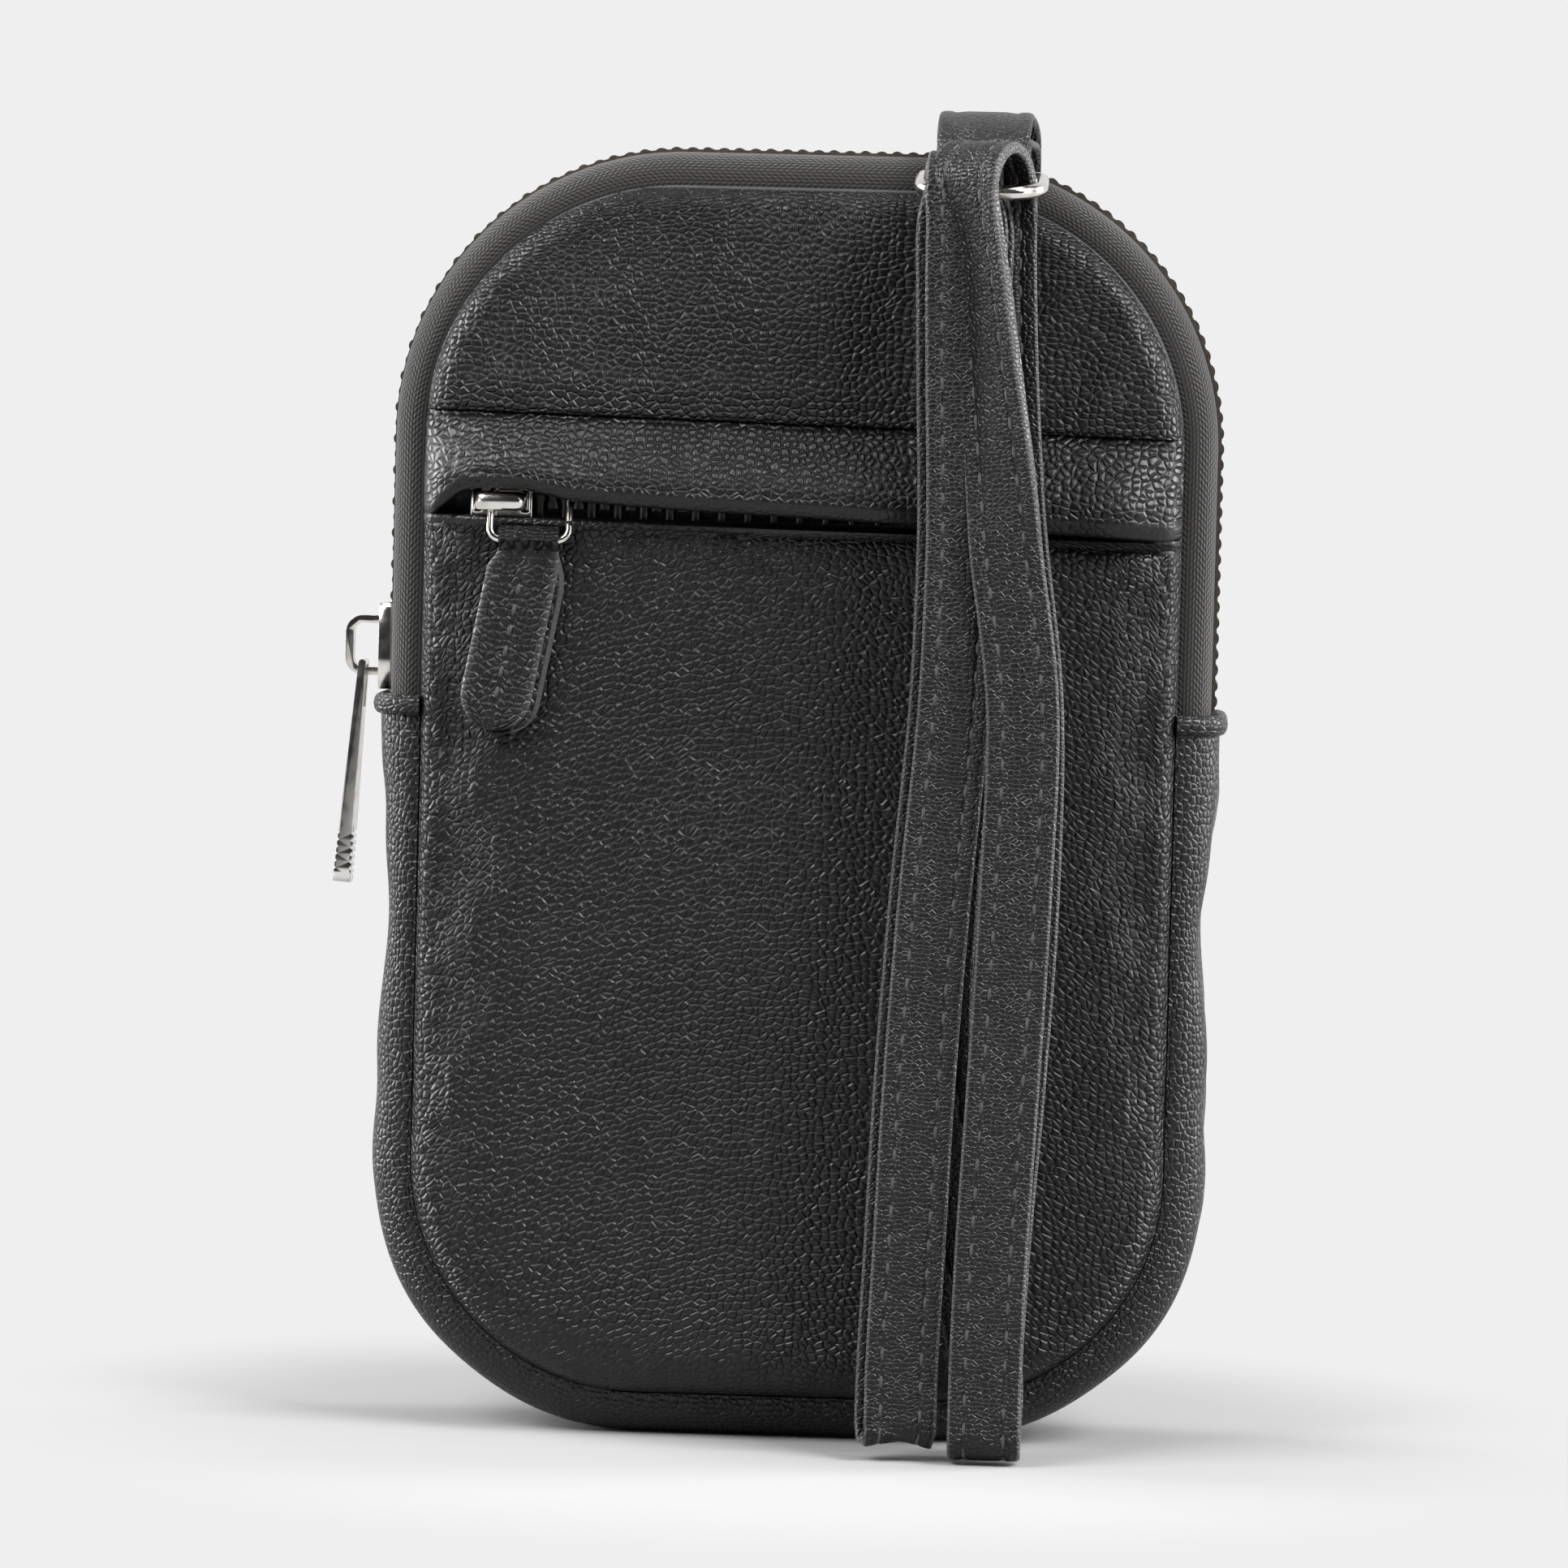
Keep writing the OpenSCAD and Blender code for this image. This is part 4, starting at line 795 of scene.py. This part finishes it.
fold = np.linspace(0, np.pi, 9)
down = np.concatenate([np.linspace(0, 0.12, 6), np.linspace(0.17, 0.75, 12),
                       np.linspace(0.79, 0.93, 7)])
u_row = np.concatenate([down, 0.93 + 0.07 * np.sin(fold[1:-1]), down[::-1]])
v_row = np.concatenate([0 * down, (1 - np.cos(fold[1:-1])) / 2, 0 * down + 1])
cols = np.concatenate([np.linspace(-1, -0.5, 70), np.linspace(-0.5, 1, 70)[1:]])
c, u = np.meshgrid(cols, u_row, indexing="ij")
v = np.broadcast_to(v_row[None, :], u.shape)
x, y, z = flap_points(c, u, v)
# Creases fan out from the slider toward the flap's sewn left end, over a softly pulled cloth
fan = ease(-x, 41, 47) * ease(52.5 + x, 0, 2)
ray = np.arctan2(z - 132.5, -40 - x)
y = y + fan * (1 - v) * (1 - ease(u, 0.93, 1)) * ease(u, 0.15, 0.4) * (
    0.22 * np.sin(ray * 13 + 0.5 * np.sin(x)) + 0.12 * np.sin(ray * 29 + x))
# It is drawn in along its sewn top, swells, and is pressed in above the smooth fold
y = y + (1 - v) * (1.4 * ease(u, 0.05, 0.75) * (1 - ease(u, 0.8, 1))
                   - np.exp(-(u / 0.07) ** 2) - 0.35 * np.exp(-((u - 0.8) / 0.04) ** 2))
y = np.where(v < 0.5, y + 0.12 * np.sin(x / 6.5 + z / 4) * ease(x, -30, -10), y)
points = np.stack([x, -y, z], -1)
bare = np.maximum(ease(u, 0.78, 0.84), ease(-x, 42, 46) * ease(u, 0.1, 0.4) * 0.7)
points = np.concatenate([points, points[:, :1]], 1)
bare = np.concatenate([bare, bare[:, :1]], 1)
flap = net("pocket_flap_leather", points, x[:, :1] + 60, np.pad(u_row, (0, 1))[None, :] * -13)
mark(flap, points, bare)
close(flap)
cap(flap)
smooth(flap)
dress(flap, "bag", LEATHER, panel_leather, "pocket_flap")

# Tapes of the front pocket's zip. They lie flat behind the pocket's opening
for low, high, label in ((POCKET_TAPE_GAP, POCKET_TAPE_UP, "upper"),
                         (-POCKET_TAPE_DOWN, -POCKET_TAPE_GAP, "lower")):
    xs, zs = np.linspace(-POCKET_HALF, POCKET_HALF, 70), np.linspace(low, high, 12)
    gx, gz = np.meshgrid(xs, zs, indexing="ij")
    tape = net(f"{label}_pocket_zip_tape", np.stack(
        [gx, np.full_like(gx, -POCKET_ZIP_Y), POCKET_ZIP_Z + gz], -1), xs[:, None], zs[None, :])
    dress(thicken(tape, POCKET_TAPE_T), "bag", TAPE, tape_weave, f"pocket_tape_{label}")


# Strap: one endless band, gathered in six runs over the ring's front bar. Runs are counted from
# the bag outward. Runs 0 and 5 hang to the right of the rest

PITCH = STRAP_T + STRAP_GAP
# Heights of the places on a run, as shares of the bar's height, and where they lie along x
RUN = np.array([0.07, 0.17, 0.3, 0.45, 0.6, 0.72, 0.765, 0.85, 0.93, 0.975])
MAIN_X = np.array([17.4, 18, 18.8, 20.3, 22.3, 22.8, 22.7, 22.2, 21.8, 21.7])
BACK_X = np.array([28.8, 29.5, 31, 32.2, 32, 29.4, 28.6, 27.5, 26.8, 26.6])
FRONT_X = np.array([28.9, 29.3, 30.3, 31.3, 31.6, 28.8, 28, 26.3, 24.5, 22.9])
# Low down, the two hidden runs of the left pile pass over to the right one
OVER = np.array([1, 0.62, 0.12, 0, 0, 0, 0, 0, 0, 0])
RUN_X = [BACK_X, MAIN_X + 1.7 + OVER * (BACK_X - MAIN_X - 1.7),
         MAIN_X + 0.9 + OVER * (FRONT_X - MAIN_X - 0.9), MAIN_X - 1.3, MAIN_X, FRONT_X]
# How far a run is turned about its length: the right edge of the front run comes forward
TURN = np.array([0, 0, 0, 0, 0, 0.12, 0.3, 0.62, 0.75, 0.66])
RUN_TURN = [0 * TURN, 0 * TURN, 0 * TURN + 0.03, 0 * TURN - 0.05, 0 * TURN, TURN]
# For each wrap over the bar: its radius, place along the bar, heading and roll
WRAPS = [(2.7, 21.2, -0.06, -0.15), (4.5, 21.7, 0.05, -0.04), (6.1, 24.2, 0.42, 0)]
# How far each place of a run has come from its layer of the pile over to the bar
SHARE = np.array([0, 0, 0, 0, 0, 0, 0, 0.1, 0.5, 0.85])
HANG_OUT = max(SIDE_D / 2 + RISE + FLAP_CLEAR + FLAP_T, WRAP_R + LEATHER_T - WIRE_Y)


def run_points(j, way):
    """Places on run j, upward with way 1 and downward with way -1, and how far it is turned."""
    r, _, heading, _ = WRAPS[(2, 1, 0, 0, 1, 2)[j]]
    over = -FRONT_Y - (1 if j > 2 else -1) * r * math.cos(heading)
    hang = -(HANG_OUT + CLEAR + STRAP_T / 2 + PITCH * j)
    y = hang + SHARE * (over - hang)
    return [tuple(q) for q in np.stack([RUN_X[j], y, RUN * FRONT_Z, RUN_TURN[j]], -1)][::way]


def wrap(k, way):
    """The half turn over the bar, toward the bag with way 1 and away from it with way -1."""
    r, x, heading, roll = WRAPS[k]
    return [(x - way * r * math.cos(a) * math.sin(heading),
             -FRONT_Y - way * r * math.cos(a) * math.cos(heading),
             FRONT_Z + r * math.sin(a), heading * math.cos(a) + way * roll * math.sin(a))
            for a in np.linspace(0, np.pi, 9)]


LOW_Z = FLOOR_GAP + STRAP_T / 2


def bend(j0, j1, deep=PITCH / 2):
    """The turn near the floor from the end of one run to another."""
    a, b = np.array(run_points(j0, 1)[0]), np.array(run_points(j1, 1)[0])
    m = (a + b) / 2
    return [(m[0] + (a[0] - b[0]) / 2 * math.cos(t), m[1] + (a[1] - b[1]) / 2 * math.cos(t),
             LOW_Z + PITCH + deep * (1 - math.sin(t)), 0) for t in np.linspace(0, np.pi, 7)]


strap_path = np.array(run_points(5, 1) + wrap(2, 1) + run_points(0, -1) + bend(0, 1)
                      + run_points(1, 1) + wrap(1, -1) + run_points(4, -1) + bend(4, 3)
                      + run_points(3, 1) + wrap(0, 1) + run_points(2, -1)
                      + [(q[0], q[1], q[2] - PITCH, 0) for q in bend(2, 5, 2.4)])


def through(points, step):
    """A closed smooth line through points, with places a step apart."""
    n = len(points)
    out = []
    for i in range(n):
        p0, p1, p2, p3 = (points[(i + k) % n] for k in (-1, 0, 1, 2))
        d0, d1, d2 = (math.sqrt(np.linalg.norm((b - a)[:3]))
                      for a, b in ((p0, p1), (p1, p2), (p2, p3)))
        m1 = (p1 - p0) / d0 - (p2 - p0) / (d0 + d1) + (p2 - p1) / d1
        m2 = (p2 - p1) / d1 - (p3 - p1) / (d1 + d2) + (p3 - p2) / d2
        m1, m2 = m1 * d1, m2 * d1
        for t in np.linspace(0, 1, 12, endpoint=False):
            out.append((2 * t ** 3 - 3 * t ** 2 + 1) * p1 + (t ** 3 - 2 * t ** 2 + t) * m1
                       + (3 * t ** 2 - 2 * t ** 3) * p2 + (t ** 3 - t ** 2) * m2)
    p = np.array(out + [out[0]])
    p[:, 2] = np.maximum(p[:, 2], LOW_Z)
    steps = np.linalg.norm(np.diff(p[:, :3], axis=0), axis=1)
    p = p[np.concatenate([[True], steps > 0.02])]
    at = along(p[:, :3])
    want = np.linspace(0, at[-1], int(at[-1] / step) + 1)
    return read_at(want, at, p), want


strap_line, strap_at = through(strap_path, 1.1)
strap_line, strap_turn = strap_line[:, :3], strap_line[:, 3]
# Distance of the strap's two stitch rows from its middle
ROW_AT = 2.7


def axes_of(line, turn):
    """The strap's own directions: across it and out of its face."""
    d = np.roll(line[:-1], -1, 0) - np.roll(line[:-1], 1, 0)
    d = unit(np.vstack([d, d[:1]]))
    side = unit(np.array([1.0, 0, 0]) - d * d[:, :1])
    out = np.cross(side, d)
    c, s = np.cos(turn)[:, None], np.sin(turn)[:, None]
    return side * c + out * s, out * c - side * s


strap_side, strap_out = axes_of(strap_line, strap_turn)


def half_thick(w):
    """Half of the strap's thickness at a distance from its middle: pressed in along the two
    stitch rows and round at its edges."""
    t = 0.88 - 0.22 * np.exp(-((np.abs(w) - ROW_AT) / 0.35) ** 2)
    return t * np.sqrt(np.clip(1 - ((np.abs(w) - 4.4) / 0.75).clip(0) ** 2, 0.18, 1))


ws = np.concatenate([np.linspace(-4.95, -4.3, 4), [-3.7], np.linspace(-3.2, -2.2, 7),
                     [-1.4, -0.5, 0.5, 1.4], np.linspace(2.2, 3.2, 7), [3.7],
                     np.linspace(4.3, 4.95, 4)])
ring_w = np.concatenate([ws, [4.99], ws[::-1], [-4.99, ws[0]]])
ring_t = np.concatenate([half_thick(ws), [0], -half_thick(ws[::-1]), [0, half_thick(ws[0])]])
swell = 1 + 0.05 * np.sin(strap_at * 0.23) + 0.03 * np.sin(strap_at * 0.61)
pts = (strap_line[:, None, :] + strap_side[:, None, :] * ring_w[None, :, None]
       + strap_out[:, None, :] * (ring_t[None, :] * swell[:, None])[..., None])
# The lowest turns lie just clear of the floor
pts[..., 2] = np.maximum(pts[..., 2], 0.3)
around = along(np.stack([ring_w, ring_t], -1))
strap = net("hanging_strap_leather", pts, strap_at[:, None], around[None, :])
mark(strap, pts, np.exp(-((np.abs(np.abs(ring_w) - ROW_AT)) / 0.5) ** 2)[None, :] * 0.8)
mark(strap, pts, (np.abs(ring_w) > 4.7)[None, :] * 1.0, "painted")
close(strap)
smooth(strap, 40)
dress(strap, "hanging_strap", STRAP, strap_leather, "strap")


# Stitches: one thread loop, arched between the two holes it goes down

bpy.ops.object.select_all(action="DESELECT")
bpy.ops.mesh.primitive_cylinder_add(vertices=6, radius=0.5, depth=1, end_fill_type="NGON")
bpy.ops.object.mode_set(mode="EDIT")
bpy.ops.mesh.subdivide(number_cuts=3)
bpy.ops.object.mode_set(mode="OBJECT")
pattern = bpy.context.object
one = np.array([q.co for q in pattern.data.vertices])
one_faces = [list(p.vertices) for p in pattern.data.polygons]
bpy.data.objects.remove(pattern)


def stitches(name, line, out, pitch, long=0.74, thick=0.5, sunk=0.05):
    """A row of stitches along a line of places, with the directions out of the leather."""
    at = along(line)
    mids = np.arange(pitch / 2, at[-1] - pitch / 4, pitch)
    centres, outs = read_at(mids, at, line), read_at(mids, at, out)
    runs = unit(read_at(mids + pitch / 4, at, line) - read_at(mids - pitch / 4, at, line))
    t = 2 * one[:, 2]
    r = thick * np.sqrt(np.clip(1.15 - t ** 2, 0.15, 1))
    arch = (thick / 2 - sunk) - 0.75 * thick * t ** 2
    co, faces = [], []
    for c, up, run in zip(centres, outs, runs):
        up = unit(up - run * up.dot(run))
        wide = np.cross(up, run)
        faces += [[i + len(co) * len(one) for i in f] for f in one_faces]
        co.append(c + run * (t / 2 * pitch * long)[:, None] + wide * (one[:, 0] * r)[:, None]
                  + up * (one[:, 1] * r + arch - thick / 2)[:, None])
    mesh = bpy.data.meshes.new(name)
    mesh.from_pydata(np.vstack(co) * MM, [], faces)
    o = bpy.data.objects.new(name, mesh)
    bpy.context.scene.collection.objects.link(o)
    close(o)
    smooth(o, 60)
    return o


def panel_row(name, z, push, half, slope):
    """A stitch row across the front at a height, which falls to the right by the slope."""
    x = np.linspace(-half, half, 120)
    zz = z + slope * x
    line = np.stack([x, -skin(x, zz, 0, 0) - push, zz], -1)
    if z < FLAP_TOP:
        line[:, 1] -= stand_off(zz)
    out = np.tile([0.0, -1.0, 0.0], (len(x), 1))
    dress(stitches(name, line, out, PANEL_STITCH, 0.7, 0.6), "bag", LEATHER, black_thread)


panel_row("upper_seam_stitches", FLAP_TOP + PLY + 1.0, -0.32, 51.2, SEAM_SLOPE)
panel_row("pocket_edge_stitches", POCKET_EDGE - 1.6, -0.4, 51.4, POCKET_SLOPE)
for k, w in enumerate((-ROW_AT, ROW_AT)):
    for f in (-1, 1):
        row = strap_line + strap_side * w + strap_out * f * (half_thick(np.array(w)))
        o = stitches(f"strap_stitches_{k}_{'front' if f < 0 else 'back'}", row, strap_out * f,
                     STRAP_STITCH, 0.7, 0.55, 0.0)
        dress(o, "hanging_strap", STRAP, black_thread)


# Pocket pull: one strip of leather folded over the link's wire, closed with a row of stitches

def tag_place(u, d, y):
    """u is across the tag from -1 to 1, d the distance down from the wire."""
    lean = math.radians(TAG_LEAN)
    end = TAG_W / 2
    past = np.clip((d - (TAG_L - end)) / end, 0, 1)
    half = end * np.sqrt(np.maximum(1 - past ** 2, 0))
    k = ease(d, 0.5, TAG_NECK)
    w = (1 - k) * TAG_FOLD_W / 2 + k * half
    turned_x = u * w * math.cos(lean) - d * math.sin(lean)
    turned_z = -d * math.cos(lean) - u * w * math.sin(lean)
    straight_x, straight_z = u * w, -d
    x = LINK_X + (1 - k) * straight_x + k * turned_x
    z = WIRE_Z + (1 - k) * straight_z + k * turned_z
    return np.stack([x, y, z], -1)


def tag_layer(name, y_face, direction, shift=(0, 0)):
    """One face of the tag from the wire down to its round end, crowned, with a rim."""
    d = np.concatenate([np.linspace(0.5, TAG_L - TAG_W / 2, 40)[:-1],
                        TAG_L - TAG_W / 2 + TAG_W / 2 * np.sin(np.linspace(0, np.pi / 2, 16))])
    d[-1] -= 0.02
    u = np.sin(np.linspace(-np.pi / 2, np.pi / 2, 25))
    dd, uu = np.meshgrid(d, u, indexing="ij")
    edge = 0.35 * uu ** 8 + 0.4 * np.exp(-((TAG_L - dd) / 0.7) ** 2)
    valley = 0.22 * np.exp(-((np.abs(uu) - 0.78) / 0.07) ** 2) * ease(dd, 3, 6)
    row = 0.25 * np.exp(-(uu / 0.09) ** 2) * ease(dd, 4, 6) * (1 - ease(dd, TAG_L - 6, TAG_L - 4))
    y = y_face - direction * (edge + valley + row)
    p = tag_place(uu, dd, y) + np.array([shift[0], 0, shift[1]]) * ease(dd, 1, 6)[..., None]
    o = net(name, p, uu * TAG_W / 2, dd)
    mark(o, p, uu ** 10, "painted")
    mark(o, p, np.maximum(uu ** 6, np.exp(-(uu / 0.15) ** 2)))
    thicken(o, LEATHER_T - 0.05, (LINK_X, 1000 if direction < 0 else -1000, WIRE_Z))
    return o


front_face = -(TAG_BACK + 2 * LEATHER_T + PLY)
tag_front = tag_layer("pocket_pull_front_layer", front_face, -1)
dress(tag_front, "pocket_pull", LEATHER, panel_leather, "pocket_pull_leather")
tag_back = tag_layer("pocket_pull_back_layer", -TAG_BACK, 1, (1.1, -0.4))
dress(tag_back, "pocket_pull", LEATHER, panel_leather)
rm = WRAP_R + LEATHER_T
a = np.linspace(0, np.pi, 17)
loop_y = WIRE_Y - rm * np.cos(a)
loop_z = WIRE_Z + rm * np.sin(a)
u = np.linspace(-1, 1, 15)
yy, uu = np.meshgrid(np.concatenate([[front_face + 0.2], loop_y, [-TAG_BACK - 0.2]]), u,
                     indexing="ij")
zz = np.concatenate([[WIRE_Z - 1.5], loop_z, [WIRE_Z - 1.5]])[:, None] + 0 * uu
fold_net = net("pocket_pull_fold", np.stack([LINK_X + uu * TAG_FOLD_W / 2, yy, zz], -1),
               uu * TAG_FOLD_W / 2, np.linspace(0, 12, len(yy))[:, None])
thicken(fold_net, LEATHER_T - 0.05, (LINK_X, WIRE_Y, WIRE_Z))
dress(fold_net, "pocket_pull", LEATHER, panel_leather)
d = np.linspace(5.5, TAG_L - 4.5, 40)
line = tag_place(0 * d, d, np.full_like(d, front_face + 0.12))
o = stitches("pocket_pull_stitches", line, np.tile([0.0, -1.0, 0.0], (len(d), 1)),
             TAG_STITCH, 0.72, 0.65, 0.0)
dress(o, "pocket_pull", LEATHER, black_thread)


# Ring tab

def bezier(p, t):
    """A place on the curve of four control places."""
    p = [np.array(q, float) for q in p]
    return ((1 - t) ** 3 * p[0] + 3 * t * (1 - t) ** 2 * p[1] + 3 * t * t * (1 - t) * p[2]
            + t ** 3 * p[3])


rm = RING_R + TAB_FIT + TAB_T / 2
lay = BAR_REACH - rm
end_z = BAG_H - SEAM_IN + CLEAR
far_y = FLAT_HALF + lay + TAB_T + PLY
turned = math.radians(TAB_TURN)
start = (rm * math.cos(turned) - BAR_Y, rm * math.sin(turned) + BAR_Z)
peak = BAG_H + TAB_RISE - TAB_T / 2
pull_up = (8 * peak - start[1] - end_z) / 6
lean = (pull_up - start[1]) / math.tan(turned - math.pi / 2)
upper = [start, (start[0] + lean / 2, pull_up), (far_y, pull_up), (far_y, end_z)]
tab_line = np.array(
    [(FLAT_HALF + lay * math.cos(a), BAG_H - SEAM_IN + lay * math.sin(a))
     for a in np.linspace(0, np.pi / 2, 16)]
    + [(-FLAT_HALF - lay * math.cos(a), BAG_H - SEAM_IN + lay * math.sin(a))
       for a in np.radians(np.linspace(90, BAR_TURN, 16))]
    + [(rm * math.cos(a) - BAR_Y, rm * math.sin(a) + BAR_Z)
       for a in np.radians(np.linspace(-BAR_TURN, TAB_TURN - 360, 22))][1:]
    + [bezier(upper, t) for t in np.linspace(0, 1, 44)][1:])
run = unit(np.gradient(tab_line, axis=0))
nrm = np.stack([-run[:, 1], run[:, 0]], -1)
# Toward its sewn ends the strip is wider, and it is narrowest round the ring's bar
flare = 1 + 0.13 * ease(tab_line[:, 0], -2, 12) - 0.03 * ease(-tab_line[:, 0], 10, 15)
tw = np.array([-1, -0.97, -0.9, -0.76, -0.66, -0.4, 0, 0.4, 0.66, 0.76, 0.9, 0.97, 1]) * TAB_W / 2
tt = TAB_T / 2 * np.array([0.3, 0.75, 1, 1, 0.7, 1, 1, 1, 0.7, 1, 1, 0.75, 0.3])
loop_w, loop_t = np.concatenate([tw, tw[::-1], tw[:1]]), np.concatenate([tt, -tt[::-1], tt[:1]])
pts = np.zeros((len(tab_line), len(loop_w), 3))
pts[..., 0] = RING_X + loop_w[None, :] * flare[:, None]
pts[..., 1] = tab_line[:, :1] + nrm[:, :1] * loop_t[None, :]
pts[..., 2] = tab_line[:, 1:] + nrm[:, 1:] * loop_t[None, :]
around = along(np.stack([loop_w, loop_t], -1))
tab = net("ring_tab_leather", pts, along(tab_line)[:, None], around[None, :])
close(tab)
cap(tab)
smooth(tab)
dress(tab, "bag", LEATHER, side_leather, "ring_tab")


# Metal: each part keeps its CAD form, with its edges softened as a tumbled casting's are

# The pocket slider's bridge: its front, its half height, its middle along x and its half length
BRIDGE_Y, BRIDGE_HALF_H, BRIDGE_X, BRIDGE_HALF_L = -19.4, 1.3, LINK_X - 4.15, 4.3


def dome_bridge(o):
    """Rounds off the front of the pocket slider's bridge toward its rims and ends."""
    for q in o.data.vertices:
        x, y, z = q.co / MM
        if y < BRIDGE_Y:
            q.co.y += MM * min(BRIDGE_Y - y, 0.8) * (
                0.7 * min(abs(z - POCKET_ZIP_Z) / BRIDGE_HALF_H, 1) ** 2
                + 0.35 * min(abs(x - BRIDGE_X) / BRIDGE_HALF_L, 1) ** 2)


def cast(node, body, name, bevel=0.16, rounds=0):
    """A merged copy of the metal part. Its edges get a bevel, or with rounds it is melted into
    one skin of bevel-sized cells and smoothed that many times."""
    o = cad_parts[node].copy()
    o.data = o.data.copy()
    for key in list(o.keys()):
        del o[key]
    o.parent = None
    o.name = o.data.name = name
    bpy.context.scene.collection.objects.link(o)
    only(o)
    bpy.ops.object.mode_set(mode="EDIT")
    bpy.ops.mesh.select_all(action="SELECT")
    bpy.ops.mesh.remove_doubles(threshold=2e-6)
    bpy.ops.mesh.dissolve_limited(angle_limit=math.radians(4))
    bpy.ops.object.mode_set(mode="OBJECT")
    if rounds:
        modify(o, "REMESH", mode="VOXEL", voxel_size=bevel * MM)
        modify(o, "SMOOTH", factor=0.5, iterations=rounds)
        dome_bridge(o)
        smooth(o, 60)
    else:
        modify(o, "BEVEL", width=bevel * MM, segments=2, limit_method="ANGLE",
               angle_limit=math.radians(40), harden_normals=False)
        smooth(o, 35)
    dress(o, body, NICKEL, bright_nickel, node)


cast("main_slider", "main_slider_body", "main_slider_casting")
cast("main_pull_bar", "main_pull", "main_pull_casting")
cast("pocket_slider", "pocket_slider_body", "pocket_slider_casting", 0.12, 14)
cast("pocket_pull_link", "pocket_link", "pocket_pull_wire", 0.02)
cast("d_ring", "ring", "d_ring_wire", 0.02)

# The coils keep their CAD form. The pocket's zip lies in shade under the flap, so its coil gets
# the darker copy of the nylon: painted shade
for node in ("zip_coil_front", "zip_coil_back", "pocket_coil_upper", "pocket_coil_lower"):
    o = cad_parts[node]
    o.data.materials.clear()
    o.data.materials.append(shaded_coil_nylon if node.startswith("pocket") else coil_nylon)
    smooth(o, 40)


# Floor, light and camera

# The paper, how pale the camera sees it away from the pouch, and the light from all around
PAPER, PAPER_SEEN, WORLD_LIGHT = "#999999", "#efefef", 0.035


def backdrop():
    """A paper sweep: level under the pouch and curved up behind it. Away from the pouch's own
    shadow the camera sees it pale, and so do glossy pieces where it rises behind the pouch."""
    m, t = blank("matt_backdrop_paper")
    paper = surface(t, {}, Base_Color=lin(PAPER), Roughness=0.95, IOR=1.3)
    glow = put(t, "ShaderNodeEmission", Color=lin(PAPER_SEEN), Strength=1.0)
    place = put(t, "ShaderNodeTexCoord").outputs["Object"]
    far = put(t, "ShaderNodeVectorMath", {0: place}, operation="LENGTH").outputs["Value"]
    behind = put(t, "ShaderNodeSeparateXYZ", {"Vector": place}).outputs["Y"]
    ray = put(t, "ShaderNodeLightPath").outputs
    share = calc(t, "MAXIMUM",
                 calc(t, "MULTIPLY", ramp(t, far, 0.07, 0.125), ray["Is Camera Ray"]),
                 calc(t, "MULTIPLY", ramp(t, behind, 0.3, 0.6), ray["Is Glossy Ray"]))
    both = put(t, "ShaderNodeMixShader", {0: share, 1: paper.outputs[0], 2: glow.outputs[0]})
    t.links.new(both.outputs[0], t.nodes["Material Output"].inputs["Surface"])
    rise = np.linspace(0, np.pi / 2, 16)
    y = np.concatenate([[-1500], 1200 + 800 * np.sin(rise), [2000]])
    z = np.concatenate([[0], 800 - 800 * np.cos(rise), [3500]])
    o = net("paper_sweep", np.stack([np.stack([np.full_like(y, x), y, z], -1)
                                     for x in (-3000, 3000)], 1))
    smooth(o, 60)
    o.data.materials.append(m)


def lamp(name, place, size, watts):
    """A soft box, size metres wide and high, turned to the middle of the pouch."""
    light = bpy.data.lights.new(name, "AREA")
    light.shape = "RECTANGLE"
    light.size, light.size_y = size
    light.energy = watts
    o = bpy.data.objects.new(name, light)
    bpy.context.scene.collection.objects.link(o)
    o.location = place
    o.rotation_euler = (Vector((0, 0, 0.08)) - Vector(place)).to_track_quat("-Z", "Y").to_euler()


backdrop()
world = bpy.data.worlds.new("studio")
bpy.context.scene.world = world
world.use_nodes = True
t = world.node_tree
t.nodes["Background"].inputs["Color"].default_value = (1, 1, 1, 1)
# Dim for the pouch, pale where the camera sees past the paper
ray = put(t, "ShaderNodeLightPath").outputs
t.links.new(calc(t, "MAXIMUM", calc(t, "MULTIPLY", ray["Is Camera Ray"], 0.86), WORLD_LIGHT),
            t.nodes["Background"].inputs["Strength"])
lamp("top_left_box", (-0.6, -0.55, 0.85), (0.55, 0.55), 14)
lamp("top_right_box", (0.7, -0.5, 0.85), (0.55, 0.55), 18)
lamp("top_box", (0, -0.15, 1.1), (0.7, 0.7), 5)
lamp("left_low_box", (-0.9, -0.5, 0.12), (0.5, 0.5), 1.8)
lamp("right_low_box", (0.9, -0.5, 0.12), (0.5, 0.5), 1.8)
lamp("left_box", (-1.0, 0.3, 0.4), (0.4, 0.8), 18)
lamp("right_box", (1.0, 0.3, 0.4), (0.4, 0.8), 16)

cam_data = bpy.data.cameras.new("camera")
camera = bpy.data.objects.new("camera", cam_data)
bpy.context.scene.collection.objects.link(camera)
bpy.context.scene.camera = camera
cam_data.lens, cam_data.sensor_width = 180, 36
cam_data.clip_start = 0.05
AZIMUTH, ELEVATION, DISTANCE, ROLL = 3.0, 3.0, 1.1, 1.43
AIM = Vector((-2.3, 0, 90.8)) * MM
az, el = math.radians(AZIMUTH), math.radians(ELEVATION)
away = Vector((math.sin(az) * math.cos(el), -math.cos(az) * math.cos(el), math.sin(el)))
turn = (-away).to_track_quat("-Z", "Y").to_matrix() @ Matrix.Rotation(math.radians(ROLL), 3, "Z")
camera.location = AIM + away * DISTANCE
camera.rotation_euler = turn.to_euler()

bpy.context.scene.view_settings.view_transform = "Standard"
